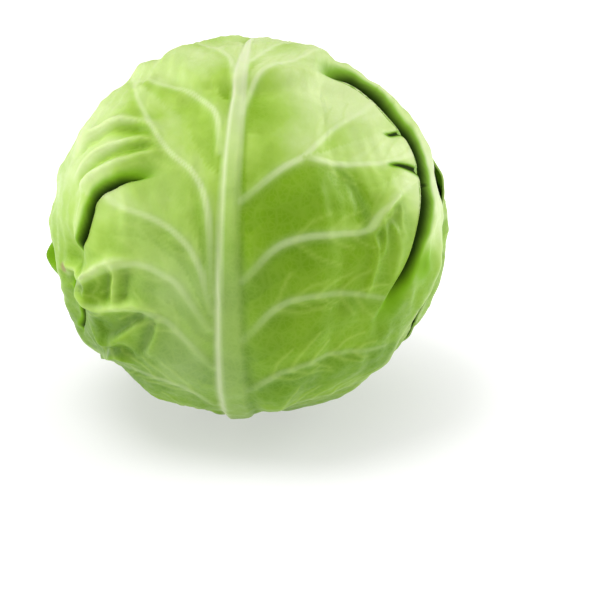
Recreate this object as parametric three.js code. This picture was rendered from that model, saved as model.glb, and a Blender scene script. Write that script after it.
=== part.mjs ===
// A round green cabbage head standing on its cut stalk: a tapered stalk, a dense heart of young leaves
// round it, and seven large leaves laid over the heart one on another, in the spiral in which they grew.
// Millimetres, +Z up, origin in the middle of the stalk's cut face, the head's front towards -Y.
import * as THREE from "three";

// The head
const HEAD_CENTRE_HEIGHT = 83;
const HEART_HALF_WIDTH = 77;
const HEART_HALF_HEIGHT_UP = 67;
const HEART_HALF_HEIGHT_DOWN = 66;
const HEART_FULLNESS = 2.3; // 2 gives an ellipsoid, and more a fuller ball
const HEART_RELIEF = 2.2; // room that the young leaves' edges and ribs take on the heart's surface

// The stalk
const STALK_FOOT_RADIUS = 18;
const STALK_FOOT_CHAMFER = 1.2;
const STALK_NECK_RADIUS = 16;
const STALK_NECK_HEIGHT = 7;
const STALK_SHOULDER_RADIUS = 14;
const STALK_SHOULDER_HEIGHT = 16;
const STALK_TIP_HEIGHT = 78;
const STALK_TIP_RADIUS = 3;
const STALK_SIDES = 24;
const SOCKET_GAP = 0.5;
const SOCKET_MOUTH_GAP = 1.5;

// The wrapper leaves
const GOLDEN_ANGLE = 137.5;
const FRONT_TURN = -6; // the front leaf's rib stands a little left of the middle
const LEAF_ARC_RADIUS = 88; // a flat leaf's millimetres become angles on a ball of this radius
const BLADE = 1.1;
const BLADE_AT_MARGIN = 0.8;
const AIR_UNDER_WRAPPER = 1.5; // the air that a leaf keeps between itself and what it lies on
const AIR_UNDER_HIDDEN = 1.9; // more under the leaves that the wrappers hide, whose facets are larger
const AIR_OVER = 0.4;
const BASE_REACH = 118; // from a leaf's middle down its rib to the stalk
const DRAPE_REACH = 13; // an upper leaf stays up this far past the margin that it lies on
const DRAPE_FADE = 18;
const COVER_REACH = 15; // relief stays down this far past the margin of the leaf above
const COVER_FADE = 12;

// The relief of a leaf
const RIB_HALF_WIDTH_BASE = 9.5;
const RIB_HALF_WIDTH_TIP = 3;
const RIB_HEIGHT_BASE = 4.2;
const RIB_HEIGHT_TIP = 0.8;
const RIB_SHOULDER = 0.55; // share of the half width where the rib's crown turns down
const RIB_SHOULDER_HEIGHT = 0.78;
const VEIN_HALF_WIDTH_ROOT = 2.6;
const VEIN_HALF_WIDTH_END = 1.4;
const VEIN_HEIGHT = 1.9;
const VEIN_TAPER = 0.6;
const VEIN_TURN_SHARE = 0.3; // a vein's sides leave the rib's line over this share of its length
const PUFF_HEIGHT = 1.1; // the blade swells between its veins
const MARGIN_BAND = 24;
const WAVE_HEIGHT = 3.4;
const WAVES_PER_SIDE = 6.5;
const WAVE_FADE = [120, 160]; // the waves die out between these bearings, towards the stalk
const LIP_ROUNDNESS = 0.7;
const COLUMN_CROWDING = 1.2; // grid columns stand closer near the margin than near the rib

// Outlines: bearing from the tip in degrees, then millimetres from the leaf's middle
const STALK_END = [[150, 103], [167, 110], [180, BASE_REACH]];
const PLAIN_MARGIN = [[0, 160], [40, 127], [80, 113], [120, 106], ...STALK_END];
const FRONT_LEFT_MARGIN = [[0, 168], [40, 136], [80, 121], [97, 104], [112, 106], ...STALK_END];
const FRONT_RIGHT_MARGIN = [[0, 168], [35, 144], [60, 133], [80, 124], [100, 106], [120, 96], ...STALK_END];
const RIGHT_LEFT_MARGIN = [[0, 92], [30, 90], [54, 95], [82, 98], [112, 100], ...STALK_END];
const RIGHT_RIGHT_MARGIN = [[0, 92], [40, 111], [80, 113], [120, 106], ...STALK_END];

// Pleats, where the front leaf folds as it bends round the head: the fold's line, given as a margin is.
// Inside the line the blade stands up and ends in a steep step, and outside it rises again to a ridge.
const FRONT_LEFT_PLEAT = [[30, 58], [46, 69], [58, 75], [73, 71], [90, 72]];
const FRONT_RIGHT_PLEAT = [[14, 114], [25, 122], [42, 115], [54, 112], [65, 104], [79, 89], [94, 77]];
const PLEAT_STEP = 5;
const PLEAT_STEP_REACH = 26; // how far inside the fold the blade starts to stand up
const PLEAT_RIDGE = 5;
const PLEAT_END = 12; // degrees of bearing over which a pleat dies out at its ends
const PLEAT_STEP_SHARE = 0.02; // the step's width, as a share of a row
const PLEAT_SHARE_RANGE = [0.3, 0.85]; // where along a row its step may stand
const PLEAT_EDGE = 0.5;
const PLEAT_HALVINGS = 20;

// Side veins from the stalk up: root height on the rib, climb beside the rib, bearing of the end
const PLAIN_VEINS = [
  [-72, 8, 140], [-46, 10, 118], [-18, 12, 97], [12, 14, 76], [44, 16, 54], [78, 14, 34], [108, 10, 16],
];
const HIDDEN_VEINS = [[-66, 10, 138], [-30, 12, 110], [10, 14, 80], [52, 14, 51], [96, 12, 24]];
const FRONT_LEFT_VEINS = [
  [-72, 8, 140], [-40, 12, 112], [-12, 14, 89], [5, 18, 70], [32, 18, 40], [68, 20, 27], [104, 12, 13],
];
const FRONT_RIGHT_VEINS = [
  [-66, 8, 140], [-40, 8, 118], [-12, 8, 96], [12, 14, 68], [42, 12, 42], [84, 16, 24], [110, 10, 11],
];
const RIGHT_VEINS = [
  [-74, 8, 140], [-52, 10, 118], [-30, 12, 97], [-8, 14, 76], [14, 16, 54], [38, 14, 34], [64, 10, 16],
];
const BASE_KEY = [-BASE_REACH, 2, 171];
const TIP_BEARING = 7;
const TIP_ROW_SETBACK = 7;

// A lip is a stretch of margin that stands off the head: the bearings of its ends, and its rise.
// Bearings left of the tip are negative.
const LIPS = {
  right_leaf: [{ from: 60, to: 110, rise: 5 }],
  front_leaf: [{ from: -92, to: -66, rise: 2.5 }, { from: 68, to: 104, rise: 7 }],
  back_left_leaf: [{ from: -70, to: -20, rise: 5 }],
};

// Innermost first
const LEAVES = [
  { name: "front_under_leaf", hidden: true },
  { name: "back_under_leaf", hidden: true },
  { name: "left_under_leaf", hidden: true },
  { name: "right_under_leaf", hidden: true },
  { name: "back_left_leaf" },
  {
    name: "front_leaf",
    veins: { left: FRONT_LEFT_VEINS, right: FRONT_RIGHT_VEINS },
    margin: { left: FRONT_LEFT_MARGIN, right: FRONT_RIGHT_MARGIN },
    pleats: { left: FRONT_LEFT_PLEAT, right: FRONT_RIGHT_PLEAT },
  },
  {
    name: "right_leaf",
    veins: { left: RIGHT_VEINS, right: RIGHT_VEINS },
    margin: { left: RIGHT_LEFT_MARGIN, right: RIGHT_RIGHT_MARGIN },
  },
];
const WRAPPER_COLUMNS = 7; // from the rib's edge to the margin
const HIDDEN_COLUMNS = 5;
const PLEAT_COLUMNS = [5, 4]; // on a pleated leaf, inside and outside the fold
const FRONT_ORDER = LEAVES.findIndex((leaf) => leaf.name === "front_leaf");
const HEART_LEAVES = 6;
const HEART_LEAF_STEP = 0.7;
const HEART_LEAF_FADE = 7;
const HEART_RIB_HALF_WIDTH = 9;
const HEART_RIB_HEIGHT = 0.6;
const HEART_RINGS = 26;
const HEART_SIDES = 44;
const SOCKET_RINGS = 4;

const LEAF_GREEN = new THREE.MeshStandardMaterial({ color: 0x8fb547, roughness: 0.5, metalness: 0 });
const YOUNG_GREEN = new THREE.MeshStandardMaterial({ color: 0xc9db8e, roughness: 0.5, metalness: 0 });
const STALK_WHITE = new THREE.MeshStandardMaterial({ color: 0xe3e6c4, roughness: 0.6, metalness: 0 });

const { clamp, lerp, smoothstep, degToRad, radToDeg } = THREE.MathUtils;

// Reads a smooth curve through points [x, y] whose x rises
function smoothThrough(points, x) {
  const last = points.length - 1;
  let i = 0;
  while (i < last - 1 && x > points[i + 1][0]) i += 1;
  const slope = (k) => {
    const a = points[Math.max(k - 1, 0)];
    const b = points[Math.min(k + 1, last)];
    return k === 0 || k === last ? 0 : (b[1] - a[1]) / (b[0] - a[0]);
  };
  const [x0, y0] = points[i];
  const [x1, y1] = points[i + 1];
  const span = x1 - x0;
  const t = clamp((x - x0) / span, 0, 1);
  const rise = y1 - y0;
  const a = slope(i) * span - rise;
  const b = rise - slope(i + 1) * span;
  return lerp(y0, y1, t) + t * (1 - t) * ((1 - t) * a + t * b);
}

const UP = new THREE.Vector3(0, 0, 1);

// A leaf's own frame on the ball: its middle, the way to its right and the way up its rib
function leafFrame(turn) {
  const angle = degToRad(turn);
  const middle = new THREE.Vector3(Math.sin(angle), -Math.cos(angle), 0);
  const right = new THREE.Vector3(Math.cos(angle), Math.sin(angle), 0);
  return { middle, right, up: UP };
}

function toDirection(frame, x, y) {
  const reach = Math.hypot(x, y);
  const angle = reach / LEAF_ARC_RADIUS;
  const out = frame.middle.clone().multiplyScalar(Math.cos(angle));
  if (reach === 0) return out;
  const sine = Math.sin(angle) / reach;
  return out.addScaledVector(frame.right, sine * x).addScaledVector(frame.up, sine * y);
}

function toFlat(frame, direction) {
  const angle = Math.acos(clamp(direction.dot(frame.middle), -1, 1));
  const x = direction.dot(frame.right);
  const y = direction.dot(frame.up);
  const scale = (LEAF_ARC_RADIUS * angle) / Math.max(Math.hypot(x, y), 1e-9);
  return [x * scale, y * scale];
}

const bearingOf = (x, y) => radToDeg(Math.atan2(x, y));

function marginRadius(leaf, bearing) {
  const margin = bearing < 0 ? leaf.margin.left : leaf.margin.right;
  return smoothThrough(margin, Math.abs(bearing));
}

// How far inside its margin a flat point of a leaf is
function insetOf(leaf, x, y) {
  return marginRadius(leaf, bearingOf(x, y)) - Math.hypot(x, y);
}

// 1 under a leaf and up to reach past its margin, fading to 0 over the next stretch
function coverage(leaf, direction, reach, fade) {
  const [x, y] = toFlat(leaf.frame, direction);
  return smoothstep(insetOf(leaf, x, y), -reach - fade, -reach);
}

// The smooth ball that the heart's relief stands on
function heartBall(direction) {
  const halfHeight = direction.z > 0 ? HEART_HALF_HEIGHT_UP : HEART_HALF_HEIGHT_DOWN;
  const across = Math.hypot(direction.x, direction.y) / HEART_HALF_WIDTH;
  const along = Math.abs(direction.z) / halfHeight;
  return (across ** HEART_FULLNESS + along ** HEART_FULLNESS) ** (-1 / HEART_FULLNESS);
}

LEAVES.forEach((leaf, order) => {
  leaf.order = order;
  leaf.margin ??= { left: PLAIN_MARGIN, right: PLAIN_MARGIN };
  const plain = leaf.hidden ? HIDDEN_VEINS : PLAIN_VEINS;
  leaf.veins ??= { left: plain, right: plain };
  leaf.columns = leaf.hidden ? HIDDEN_COLUMNS : WRAPPER_COLUMNS;
  leaf.air = leaf.hidden ? AIR_UNDER_HIDDEN : AIR_UNDER_WRAPPER;
  leaf.frame = leafFrame(FRONT_TURN + (order - FRONT_ORDER) * GOLDEN_ANGLE);
  leaf.tip = leaf.margin.left[0][1];
});

// The surface that a leaf of this order is laid on: the heart and every leaf inside it
function bedRadius(order, direction) {
  let radius = heartBall(direction) + HEART_RELIEF;
  for (const inner of LEAVES.slice(0, order)) {
    const layer = inner.air + BLADE + AIR_OVER;
    radius += layer * coverage(inner, direction, DRAPE_REACH, DRAPE_FADE);
  }
  return radius + LEAVES[order].air;
}

// 1 where a leaf further out lies on this one, so that its relief is pressed flat there
function pressed(order, direction) {
  let share = 0;
  for (const outer of LEAVES.slice(order + 1)) {
    share = Math.max(share, coverage(outer, direction, COVER_REACH, COVER_FADE));
  }
  return share;
}

// How far the margin stands off the bed: regular waves, and the leaf's own lips
function marginLift(leaf, x, y) {
  const bearing = bearingOf(x, y);
  const edge = 1 - smoothstep(insetOf(leaf, x, y), 0, MARGIN_BAND);
  const phase = (Math.abs(bearing) / 180) * WAVES_PER_SIDE * 2 * Math.PI;
  const awayFromStalk = 1 - smoothstep(Math.abs(bearing), ...WAVE_FADE);
  let lift = WAVE_HEIGHT * (0.5 + 0.5 * Math.sin(phase + leaf.order)) * awayFromStalk;
  for (const lip of LIPS[leaf.name] ?? []) {
    const share = (bearing - lip.from) / (lip.to - lip.from);
    if (share > 0 && share < 1) lift += lip.rise * Math.sin(Math.PI * share) ** LIP_ROUNDNESS;
  }
  return lift * edge * edge;
}

const alongRib = (leaf, height) => clamp((height + BASE_REACH) / (leaf.tip + BASE_REACH), 0, 1);
const tapered = (base, tip) => (leaf, height) => lerp(base, tip, alongRib(leaf, height));
const ribHalfWidth = tapered(RIB_HALF_WIDTH_BASE, RIB_HALF_WIDTH_TIP);
const ribHeight = tapered(RIB_HEIGHT_BASE, RIB_HEIGHT_TIP);

// Rows of a leaf half: its base, three over each vein or one on a hidden leaf, two between veins, its tip
function leafRows(leaf, side) {
  const tipKey = [leaf.tip - TIP_ROW_SETBACK, 2, TIP_BEARING];
  const keys = [BASE_KEY, ...leaf.veins[side], tipKey];
  const veinOffsets = leaf.hidden ? [0] : [-1, 0, 1];
  const rows = [];
  keys.forEach((key, i) => {
    for (const share of i > 0 ? [1 / 3, 2 / 3] : []) {
      const between = key.map((value, k) => lerp(keys[i - 1][k], value, share));
      rows.push({ key: between, offset: 0, puff: 1, crest: 0 });
    }
    const isVein = i > 0 && i < keys.length - 1;
    for (const offset of isVein ? veinOffsets : [0]) {
      rows.push({ key, offset, puff: 0, crest: isVein && offset === 0 ? 1 : 0 });
    }
  });
  return rows;
}

// A point of a row, from the rib's edge at share 0 to the margin at share 1
function rowPoint(leaf, row, sign, share) {
  const [root, climb, endBearing] = row.key;
  const end = marginRadius(leaf, sign * endBearing);
  const start = new THREE.Vector2(ribHalfWidth(leaf, root), root);
  const bend = new THREE.Vector2(start.x + climb, root + climb);
  const finish = new THREE.Vector2(0, end).rotateAround(new THREE.Vector2(), -degToRad(endBearing));
  const curve = new THREE.QuadraticBezierCurve(start, bend, finish);
  const point = curve.getPoint(share);
  const tangent = curve.getTangent(share);
  const halfWidth = row.offset * lerp(VEIN_HALF_WIDTH_ROOT, VEIN_HALF_WIDTH_END, share);
  const turned = smoothstep(share, 0, VEIN_TURN_SHARE);
  point.x -= halfWidth * tangent.y * turned;
  point.y += halfWidth * lerp(1, tangent.x, turned);
  return [sign * point.x, point.y];
}

const sideOf = (sign) => (sign < 0 ? "left" : "right");

// How far a flat point lies outside its leaf's pleat, and how strong the pleat is there
function pleatAt(leaf, [x, y]) {
  const line = leaf.pleats[sideOf(x)];
  const bearing = Math.abs(bearingOf(x, y));
  const outside = Math.hypot(x, y) - smoothThrough(line, bearing);
  const [from, to] = [line[0][0], line.at(-1)[0]];
  const opened = smoothstep(bearing, from, from + PLEAT_END);
  const strength = opened * (1 - smoothstep(bearing, to - PLEAT_END, to));
  return { outside, strength };
}

// The share of a row at which it crosses its leaf's pleat
function pleatShare(leaf, row, sign) {
  let [inside, beyond] = [0, 1];
  for (let halving = 0; halving < PLEAT_HALVINGS; halving += 1) {
    const middle = (inside + beyond) / 2;
    if (pleatAt(leaf, rowPoint(leaf, row, sign, middle)).outside < 0) inside = middle;
    else beyond = middle;
  }
  return inside;
}

// Where a row's grid points stand: evenly crowded, or with a step's two edges on the pleat that it crosses
function rowShares(leaf, row, sign) {
  const crowded = (column) => 1 - (1 - column / leaf.columns) ** COLUMN_CROWDING;
  if (!leaf.pleats) return Array.from({ length: leaf.columns + 1 }, (_, column) => crowded(column));
  const [inner, outer] = PLEAT_COLUMNS;
  const fold = clamp(pleatShare(leaf, row, sign), ...PLEAT_SHARE_RANGE);
  const insideShares = Array.from({ length: inner + 1 }, (_, column) => (fold * column) / inner);
  const foot = fold + PLEAT_STEP_SHARE;
  const outsideShares = Array.from({ length: outer + 1 }, (_, column) => lerp(foot, 1, column / outer));
  return [...insideShares, ...outsideShares];
}

// The relief of a pleat: it swells up to the step, drops, and rises to a ridge outside
function pleatRelief(leaf, point) {
  if (!leaf.pleats) return 0;
  const { outside, strength } = pleatAt(leaf, point);
  if (outside < PLEAT_EDGE) return strength * PLEAT_STEP * smoothstep(outside, -PLEAT_STEP_REACH, 0);
  return strength * PLEAT_RIDGE * Math.sin(Math.PI * clamp(outside / PLEAT_STEP_REACH, 0, 1));
}

// The points of one row on one side of the rib's crown, from the rib's shoulder to the margin
function halfRow(leaf, row, sign, crownHeight) {
  const root = row.key[0];
  const shoulder = {
    flat: [sign * ribHalfWidth(leaf, root) * RIB_SHOULDER, lerp(crownHeight, root, RIB_SHOULDER)],
    relief: ribHeight(leaf, root) * RIB_SHOULDER_HEIGHT,
  };
  const points = rowShares(leaf, row, sign).map((share) => {
    const flat = rowPoint(leaf, row, sign, share);
    const vein = row.crest * VEIN_HEIGHT * (1 - share) ** VEIN_TAPER;
    const puff = row.puff * PUFF_HEIGHT * Math.sin(Math.PI * share);
    return { flat, relief: vein + puff, lift: pleatRelief(leaf, flat) };
  });
  return [shoulder, ...points];
}

// Every grid point of a leaf: its flat place and the relief that stands on the blade there
function leafGrid(leaf) {
  const rightRows = leafRows(leaf, "right");
  return leafRows(leaf, "left").map((leftRow, r) => {
    const rightRow = rightRows[r];
    const height = (leftRow.key[0] + rightRow.key[0]) / 2;
    const crown = { flat: [0, height], relief: ribHeight(leaf, height) };
    return [...halfRow(leaf, leftRow, -1, height).reverse(), crown, ...halfRow(leaf, rightRow, 1, height)];
  });
}

// A closed blade: the outer face, the inner face with the same diagonals, and the rim between them
function bladeGeometry(outer, inner) {
  const rows = outer.length;
  const columns = outer[0].length;
  const count = rows * columns;
  const positions = [...outer.flat(), ...inner.flat()].flatMap((point) => point.toArray());
  const index = [];
  const at = (r, c) => r * columns + c;
  for (let r = 0; r + 1 < rows; r += 1) {
    for (let c = 0; c + 1 < columns; c += 1) {
      const [a, b, d, e] = [at(r, c), at(r, c + 1), at(r + 1, c), at(r + 1, c + 1)];
      index.push(a, b, e, a, e, d);
      index.push(count + a, count + e, count + b, count + a, count + d, count + e);
    }
  }
  const rim = [];
  for (let c = 0; c < columns; c += 1) rim.push(at(0, c));
  for (let r = 1; r < rows; r += 1) rim.push(at(r, columns - 1));
  for (let c = columns - 2; c >= 0; c -= 1) rim.push(at(rows - 1, c));
  for (let r = rows - 2; r > 0; r -= 1) rim.push(at(r, 0));
  rim.forEach((a, i) => {
    const b = rim[(i + 1) % rim.length];
    index.push(a, count + b, b, a, count + a, count + b);
  });
  return geometryOf(positions, index);
}

function geometryOf(positions, index) {
  const geometry = new THREE.BufferGeometry();
  geometry.setAttribute("position", new THREE.Float32BufferAttribute(positions, 3));
  geometry.setIndex(index);
  geometry.computeVertexNormals();
  return geometry;
}

function wrapperLeaf(leaf) {
  const faces = leafGrid(leaf).map((row) =>
    row.map(({ flat: [x, y], relief, lift = 0 }) => {
      const direction = toDirection(leaf.frame, x, y);
      const free = 1 - pressed(leaf.order, direction);
      const inset = insetOf(leaf, x, y);
      const blade = lerp(BLADE_AT_MARGIN, BLADE, smoothstep(inset, 0, MARGIN_BAND));
      const innerRadius = bedRadius(leaf.order, direction) + free * (marginLift(leaf, x, y) + lift);
      const outerRadius = innerRadius + blade + free * relief;
      return {
        inner: direction.clone().multiplyScalar(innerRadius),
        outer: direction.clone().multiplyScalar(outerRadius),
      };
    }),
  );
  const outer = faces.map((row) => row.map((point) => point.outer));
  const inner = faces.map((row) => row.map((point) => point.inner));
  const mesh = new THREE.Mesh(bladeGeometry(outer, inner), LEAF_GREEN.clone());
  mesh.name = leaf.name;
  return mesh;
}

// The young leaves that carry the spiral on, inside the wrapper leaves
const YOUNG_LEAVES = Array.from({ length: HEART_LEAVES }, (_, i) => ({
  frame: leafFrame(FRONT_TURN - (FRONT_ORDER + 1 + i) * GOLDEN_ANGLE),
  margin: { left: PLAIN_MARGIN, right: PLAIN_MARGIN },
}));

function heartRadius(direction) {
  let relief = 0;
  for (const young of YOUNG_LEAVES) {
    const [x] = toFlat(young.frame, direction);
    const cover = coverage(young, direction, 0, HEART_LEAF_FADE);
    const rib = HEART_RIB_HEIGHT * (1 - smoothstep(Math.abs(x), 0, HEART_RIB_HALF_WIDTH));
    relief = Math.min(relief + cover * HEART_LEAF_STEP, HEART_RELIEF - HEART_RIB_HEIGHT) + cover * rib;
  }
  return heartBall(direction) + Math.min(relief, HEART_RELIEF);
}

// The stalk is turned about the upright axis, from its cut face to its tip
function stalk() {
  const outline = [
    [0, 0],
    [STALK_FOOT_RADIUS - STALK_FOOT_CHAMFER, 0],
    [STALK_FOOT_RADIUS, STALK_FOOT_CHAMFER],
    [STALK_NECK_RADIUS, STALK_NECK_HEIGHT],
    [STALK_SHOULDER_RADIUS, STALK_SHOULDER_HEIGHT],
    [STALK_TIP_RADIUS, STALK_TIP_HEIGHT],
    [0, STALK_TIP_HEIGHT + STALK_TIP_RADIUS / 2],
  ].map(([radius, height]) => new THREE.Vector2(radius, height));
  const geometry = new THREE.LatheGeometry(outline, STALK_SIDES).rotateX(Math.PI / 2);
  const mesh = new THREE.Mesh(geometry, STALK_WHITE);
  mesh.name = "stalk";
  return mesh;
}

// The heart is a ball whose skin turns in at the stalk and lines the stalk's socket, as one closed body
function heart() {
  const shoulder = STALK_SHOULDER_RADIUS + SOCKET_GAP;
  const mouthAngle = Math.asin((STALK_NECK_RADIUS + SOCKET_MOUTH_GAP) / HEART_HALF_HEIGHT_DOWN);
  const profileRings = [];
  for (let ring = 1; ring <= HEART_RINGS; ring += 1) {
    const polar = ((Math.PI - mouthAngle) * ring) / HEART_RINGS;
    profileRings.push((turn) => {
      const direction = new THREE.Vector3().setFromSphericalCoords(1, polar, turn);
      const upright = new THREE.Vector3(direction.x, -direction.z, direction.y);
      return upright.clone().multiplyScalar(heartRadius(upright));
    });
  }
  const socketTop = STALK_TIP_HEIGHT + STALK_TIP_RADIUS - HEAD_CENTRE_HEIGHT;
  const socketFoot = STALK_SHOULDER_HEIGHT - HEAD_CENTRE_HEIGHT;
  for (let ring = 0; ring <= SOCKET_RINGS; ring += 1) {
    const share = ring / SOCKET_RINGS;
    const radius = lerp(shoulder, STALK_TIP_RADIUS + SOCKET_GAP, share);
    const height = lerp(socketFoot, socketTop, share);
    profileRings.push((turn) => new THREE.Vector3(0, -radius, height).applyAxisAngle(UP, turn));
  }
  const positions = [0, 0, heartRadius(UP)];
  for (const ring of profileRings) {
    for (let side = 0; side < HEART_SIDES; side += 1) {
      positions.push(...ring((2 * Math.PI * side) / HEART_SIDES).toArray());
    }
  }
  positions.push(0, 0, socketTop + SOCKET_GAP);
  const index = [];
  const at = (ring, side) => 1 + ring * HEART_SIDES + (side % HEART_SIDES);
  const socketTip = 1 + profileRings.length * HEART_SIDES;
  for (let side = 0; side < HEART_SIDES; side += 1) {
    index.push(0, at(0, side), at(0, side + 1));
    for (let ring = 0; ring + 1 < profileRings.length; ring += 1) {
      const [a, b, d, e] = [at(ring, side), at(ring, side + 1), at(ring + 1, side), at(ring + 1, side + 1)];
      index.push(a, d, e, a, e, b);
    }
    index.push(at(profileRings.length - 1, side), socketTip, at(profileRings.length - 1, side + 1));
  }
  const mesh = new THREE.Mesh(geometryOf(positions, index), YOUNG_GREEN);
  mesh.name = "heart";
  return mesh;
}

const head = new THREE.Group();
head.position.z = HEAD_CENTRE_HEIGHT;
head.add(heart(), ...LEAVES.map(wrapperLeaf));

const cabbage = new THREE.Group();
cabbage.add(stalk(), head);

export default cabbage;
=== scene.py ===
# %% [markdown]
# # A round green cabbage head
# A cabbage head is one long bud. A stalk stands in its middle, young leaves are pressed round the stalk
# into a firm heart, and large leaves lie over the heart, each turned on from the last by the golden angle.
# The construction is already made, at its real size. This lesson keeps its places and gives every piece its
# surface: ribs, veins, pleats, wrinkled margins, wax and colour.

# %% The frame
import math

import bpy
import numpy as np
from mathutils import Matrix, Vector


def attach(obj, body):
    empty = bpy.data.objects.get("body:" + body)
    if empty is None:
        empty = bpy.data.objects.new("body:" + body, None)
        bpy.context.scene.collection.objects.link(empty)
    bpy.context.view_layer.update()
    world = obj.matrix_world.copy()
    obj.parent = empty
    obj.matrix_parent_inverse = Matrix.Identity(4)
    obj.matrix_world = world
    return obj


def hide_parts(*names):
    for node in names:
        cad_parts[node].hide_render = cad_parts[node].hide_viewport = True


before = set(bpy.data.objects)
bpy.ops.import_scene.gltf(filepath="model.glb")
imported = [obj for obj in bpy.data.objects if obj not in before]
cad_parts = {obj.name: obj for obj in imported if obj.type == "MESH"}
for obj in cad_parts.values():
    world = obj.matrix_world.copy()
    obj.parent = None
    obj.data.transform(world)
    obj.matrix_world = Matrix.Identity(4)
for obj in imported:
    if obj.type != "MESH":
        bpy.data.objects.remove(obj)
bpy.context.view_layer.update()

print("nodes:", ", ".join(sorted(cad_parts)))

# %% [markdown]
# ## The camera
# The head is nearly a ball, and a ball looks the same from everywhere, so the photo's angle shows in its
# rib and its top: the eye is about 20 degrees above the middle of the head. The lens is worked out from the
# size of the head in the picture, and the camera is turned a little, so that the head stands where it does
# there.

# %% Camera
PICTURE_SIDE = 600  # pixels, as are the next two
HEAD_PIXEL = (248, 234)
HEAD_RADIUS_PIXELS = 196
HEAD_RADIUS = 0.0902
HEAD_CENTRE = np.array([0.0, 0.0, 0.083])
CAMERA_DISTANCE = 0.9
CAMERA_ELEVATION = math.radians(20)
SENSOR = 36.0  # millimetres


def turn_towards(thing, direction):
    """A camera and a lamp both look down their own z axis. This points one along a direction."""
    thing.rotation_euler = Vector(direction).to_track_quat("-Z", "Y").to_euler()


def place_camera():
    towards_eye = np.array([0.0, -math.cos(CAMERA_ELEVATION), math.sin(CAMERA_ELEVATION)])
    right = np.array([1.0, 0.0, 0.0])
    up = np.cross(towards_eye, right)
    eye = HEAD_CENTRE + CAMERA_DISTANCE * towards_eye
    focal_pixels = HEAD_RADIUS_PIXELS / math.tan(math.asin(HEAD_RADIUS / CAMERA_DISTANCE))
    metres_per_pixel = CAMERA_DISTANCE / focal_pixels
    aside = (PICTURE_SIDE / 2 - HEAD_PIXEL[0]) * metres_per_pixel
    below = (PICTURE_SIDE / 2 - HEAD_PIXEL[1]) * metres_per_pixel
    aim = HEAD_CENTRE + aside * right - below * up
    bpy.ops.object.camera_add(location=eye)
    camera = bpy.context.object
    camera.name = "camera"
    turn_towards(camera, aim - eye)
    camera.data.sensor_width = SENSOR
    camera.data.lens = focal_pixels * SENSOR / PICTURE_SIDE
    bpy.context.scene.camera = camera
    return camera


camera = place_camera()
print(f"lens {camera.data.lens:.1f} mm, {CAMERA_DISTANCE} m away")

# %% [markdown]
# ## A helper for materials
# A procedural material is a net of nodes. In the shader editor they are boxes and wires, and in a script
# each takes several lines. This helper gives the usual ones short names, so that every finish below reads
# as a recipe. Colours are written as a picture program shows them, from 0 to 255.

# %% Material helper
LIGHT_DEPTH = 0.002  # metres that light goes into a leaf


def srgb(*values):
    linear = [((c / 255 + 0.055) / 1.055) ** 2.4 if c > 10 else c / 255 / 12.92 for c in values]
    return (*linear, 1.0)


class Finish:
    """A material with short ways to add nodes and join them."""

    def __init__(self, name):
        self.material = bpy.data.materials.new(name)
        self.material.use_nodes = True
        self.tree = self.material.node_tree
        self.shader = self.tree.nodes["Principled BSDF"]

    def join(self, value, socket):
        if isinstance(value, bpy.types.NodeSocket):
            self.tree.links.new(value, socket)
        else:
            socket.default_value = value

    def set(self, name, value):
        self.join(value, self.shader.inputs[name])

    def add(self, kind, **settings):
        node = self.tree.nodes.new(kind)
        for name, value in settings.items():
            setattr(node, name, value)
        return node

    def attribute(self, name):
        return self.add("ShaderNodeAttribute", attribute_name=name).outputs["Fac"]

    def maths(self, operation, *values):
        node = self.add("ShaderNodeMath", operation=operation)
        for value, socket in zip(values, node.inputs):
            self.join(value, socket)
        return node.outputs["Value"]

    def fade(self, value, low, high, start=0.0, end=1.0):
        node = self.add("ShaderNodeMapRange", interpolation_type="SMOOTHSTEP")
        for item, socket in zip((value, low, high, start, end), node.inputs):
            self.join(item, socket)
        return node.outputs["Result"]

    def mix(self, share, first, second):
        node = self.add("ShaderNodeMix", data_type="RGBA")
        self.join(share, node.inputs["Factor"])
        self.join(first, node.inputs["A"])
        self.join(second, node.inputs["B"])
        return node.outputs["Result"]

    def texture(self, kind, coordinates, scale, **settings):
        node = self.add(kind)
        self.join(coordinates, node.inputs["Vector"])
        node.inputs["Scale"].default_value = scale
        for name, value in settings.items():
            if name in node.inputs:
                node.inputs[name].default_value = value
            else:
                setattr(node, name, value)
        return node

    def ramp(self, value, *stops):
        node = self.add("ShaderNodeValToRGB")
        self.join(value, node.inputs["Fac"])
        elements = node.color_ramp.elements
        while len(elements) < len(stops):
            elements.new(1.0)
        for element, (place, colour) in zip(elements, stops):
            element.position = place
            element.color = colour
        return node.outputs["Color"]

    def bump(self, height, strength, distance):
        node = self.add("ShaderNodeBump")
        node.inputs["Strength"].default_value = strength
        node.inputs["Distance"].default_value = distance
        self.join(height, node.inputs["Height"])
        self.set("Normal", node.outputs["Normal"])

    def let_light_in(self, weight, radius):
        self.set("Subsurface Weight", weight)
        self.set("Subsurface Radius", radius)
        self.set("Subsurface Scale", LIGHT_DEPTH)


print("a finish is a material whose nodes are added by name")

# %% [markdown]
# ## The light
# The head is lit as in a bright studio. A broad lamp overhead, a little to the left and in front, gives the
# shading. Two lamps behind the head, one on each side, light the rim until it nearly melts into the white.
# The surround is shown white, but it lights the head less than that, or the leaves would look flat. The
# Standard view transform shows colours as they were chosen.

# %% Light
KEY = {"place": (-0.4, -0.25, 1.3), "side": 0.7, "power": 11.4}
LEFT = {"place": (-1.2, 0.35, 0.5), "side": 0.9, "power": 7.0}
RIGHT = {"place": (1.2, 0.35, 0.55), "side": 0.9, "power": 11.0}
SURROUND_SEEN = 1.0
SURROUND_LIGHT = 0.24
WHITE = (1, 1, 1, 1)


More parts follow.
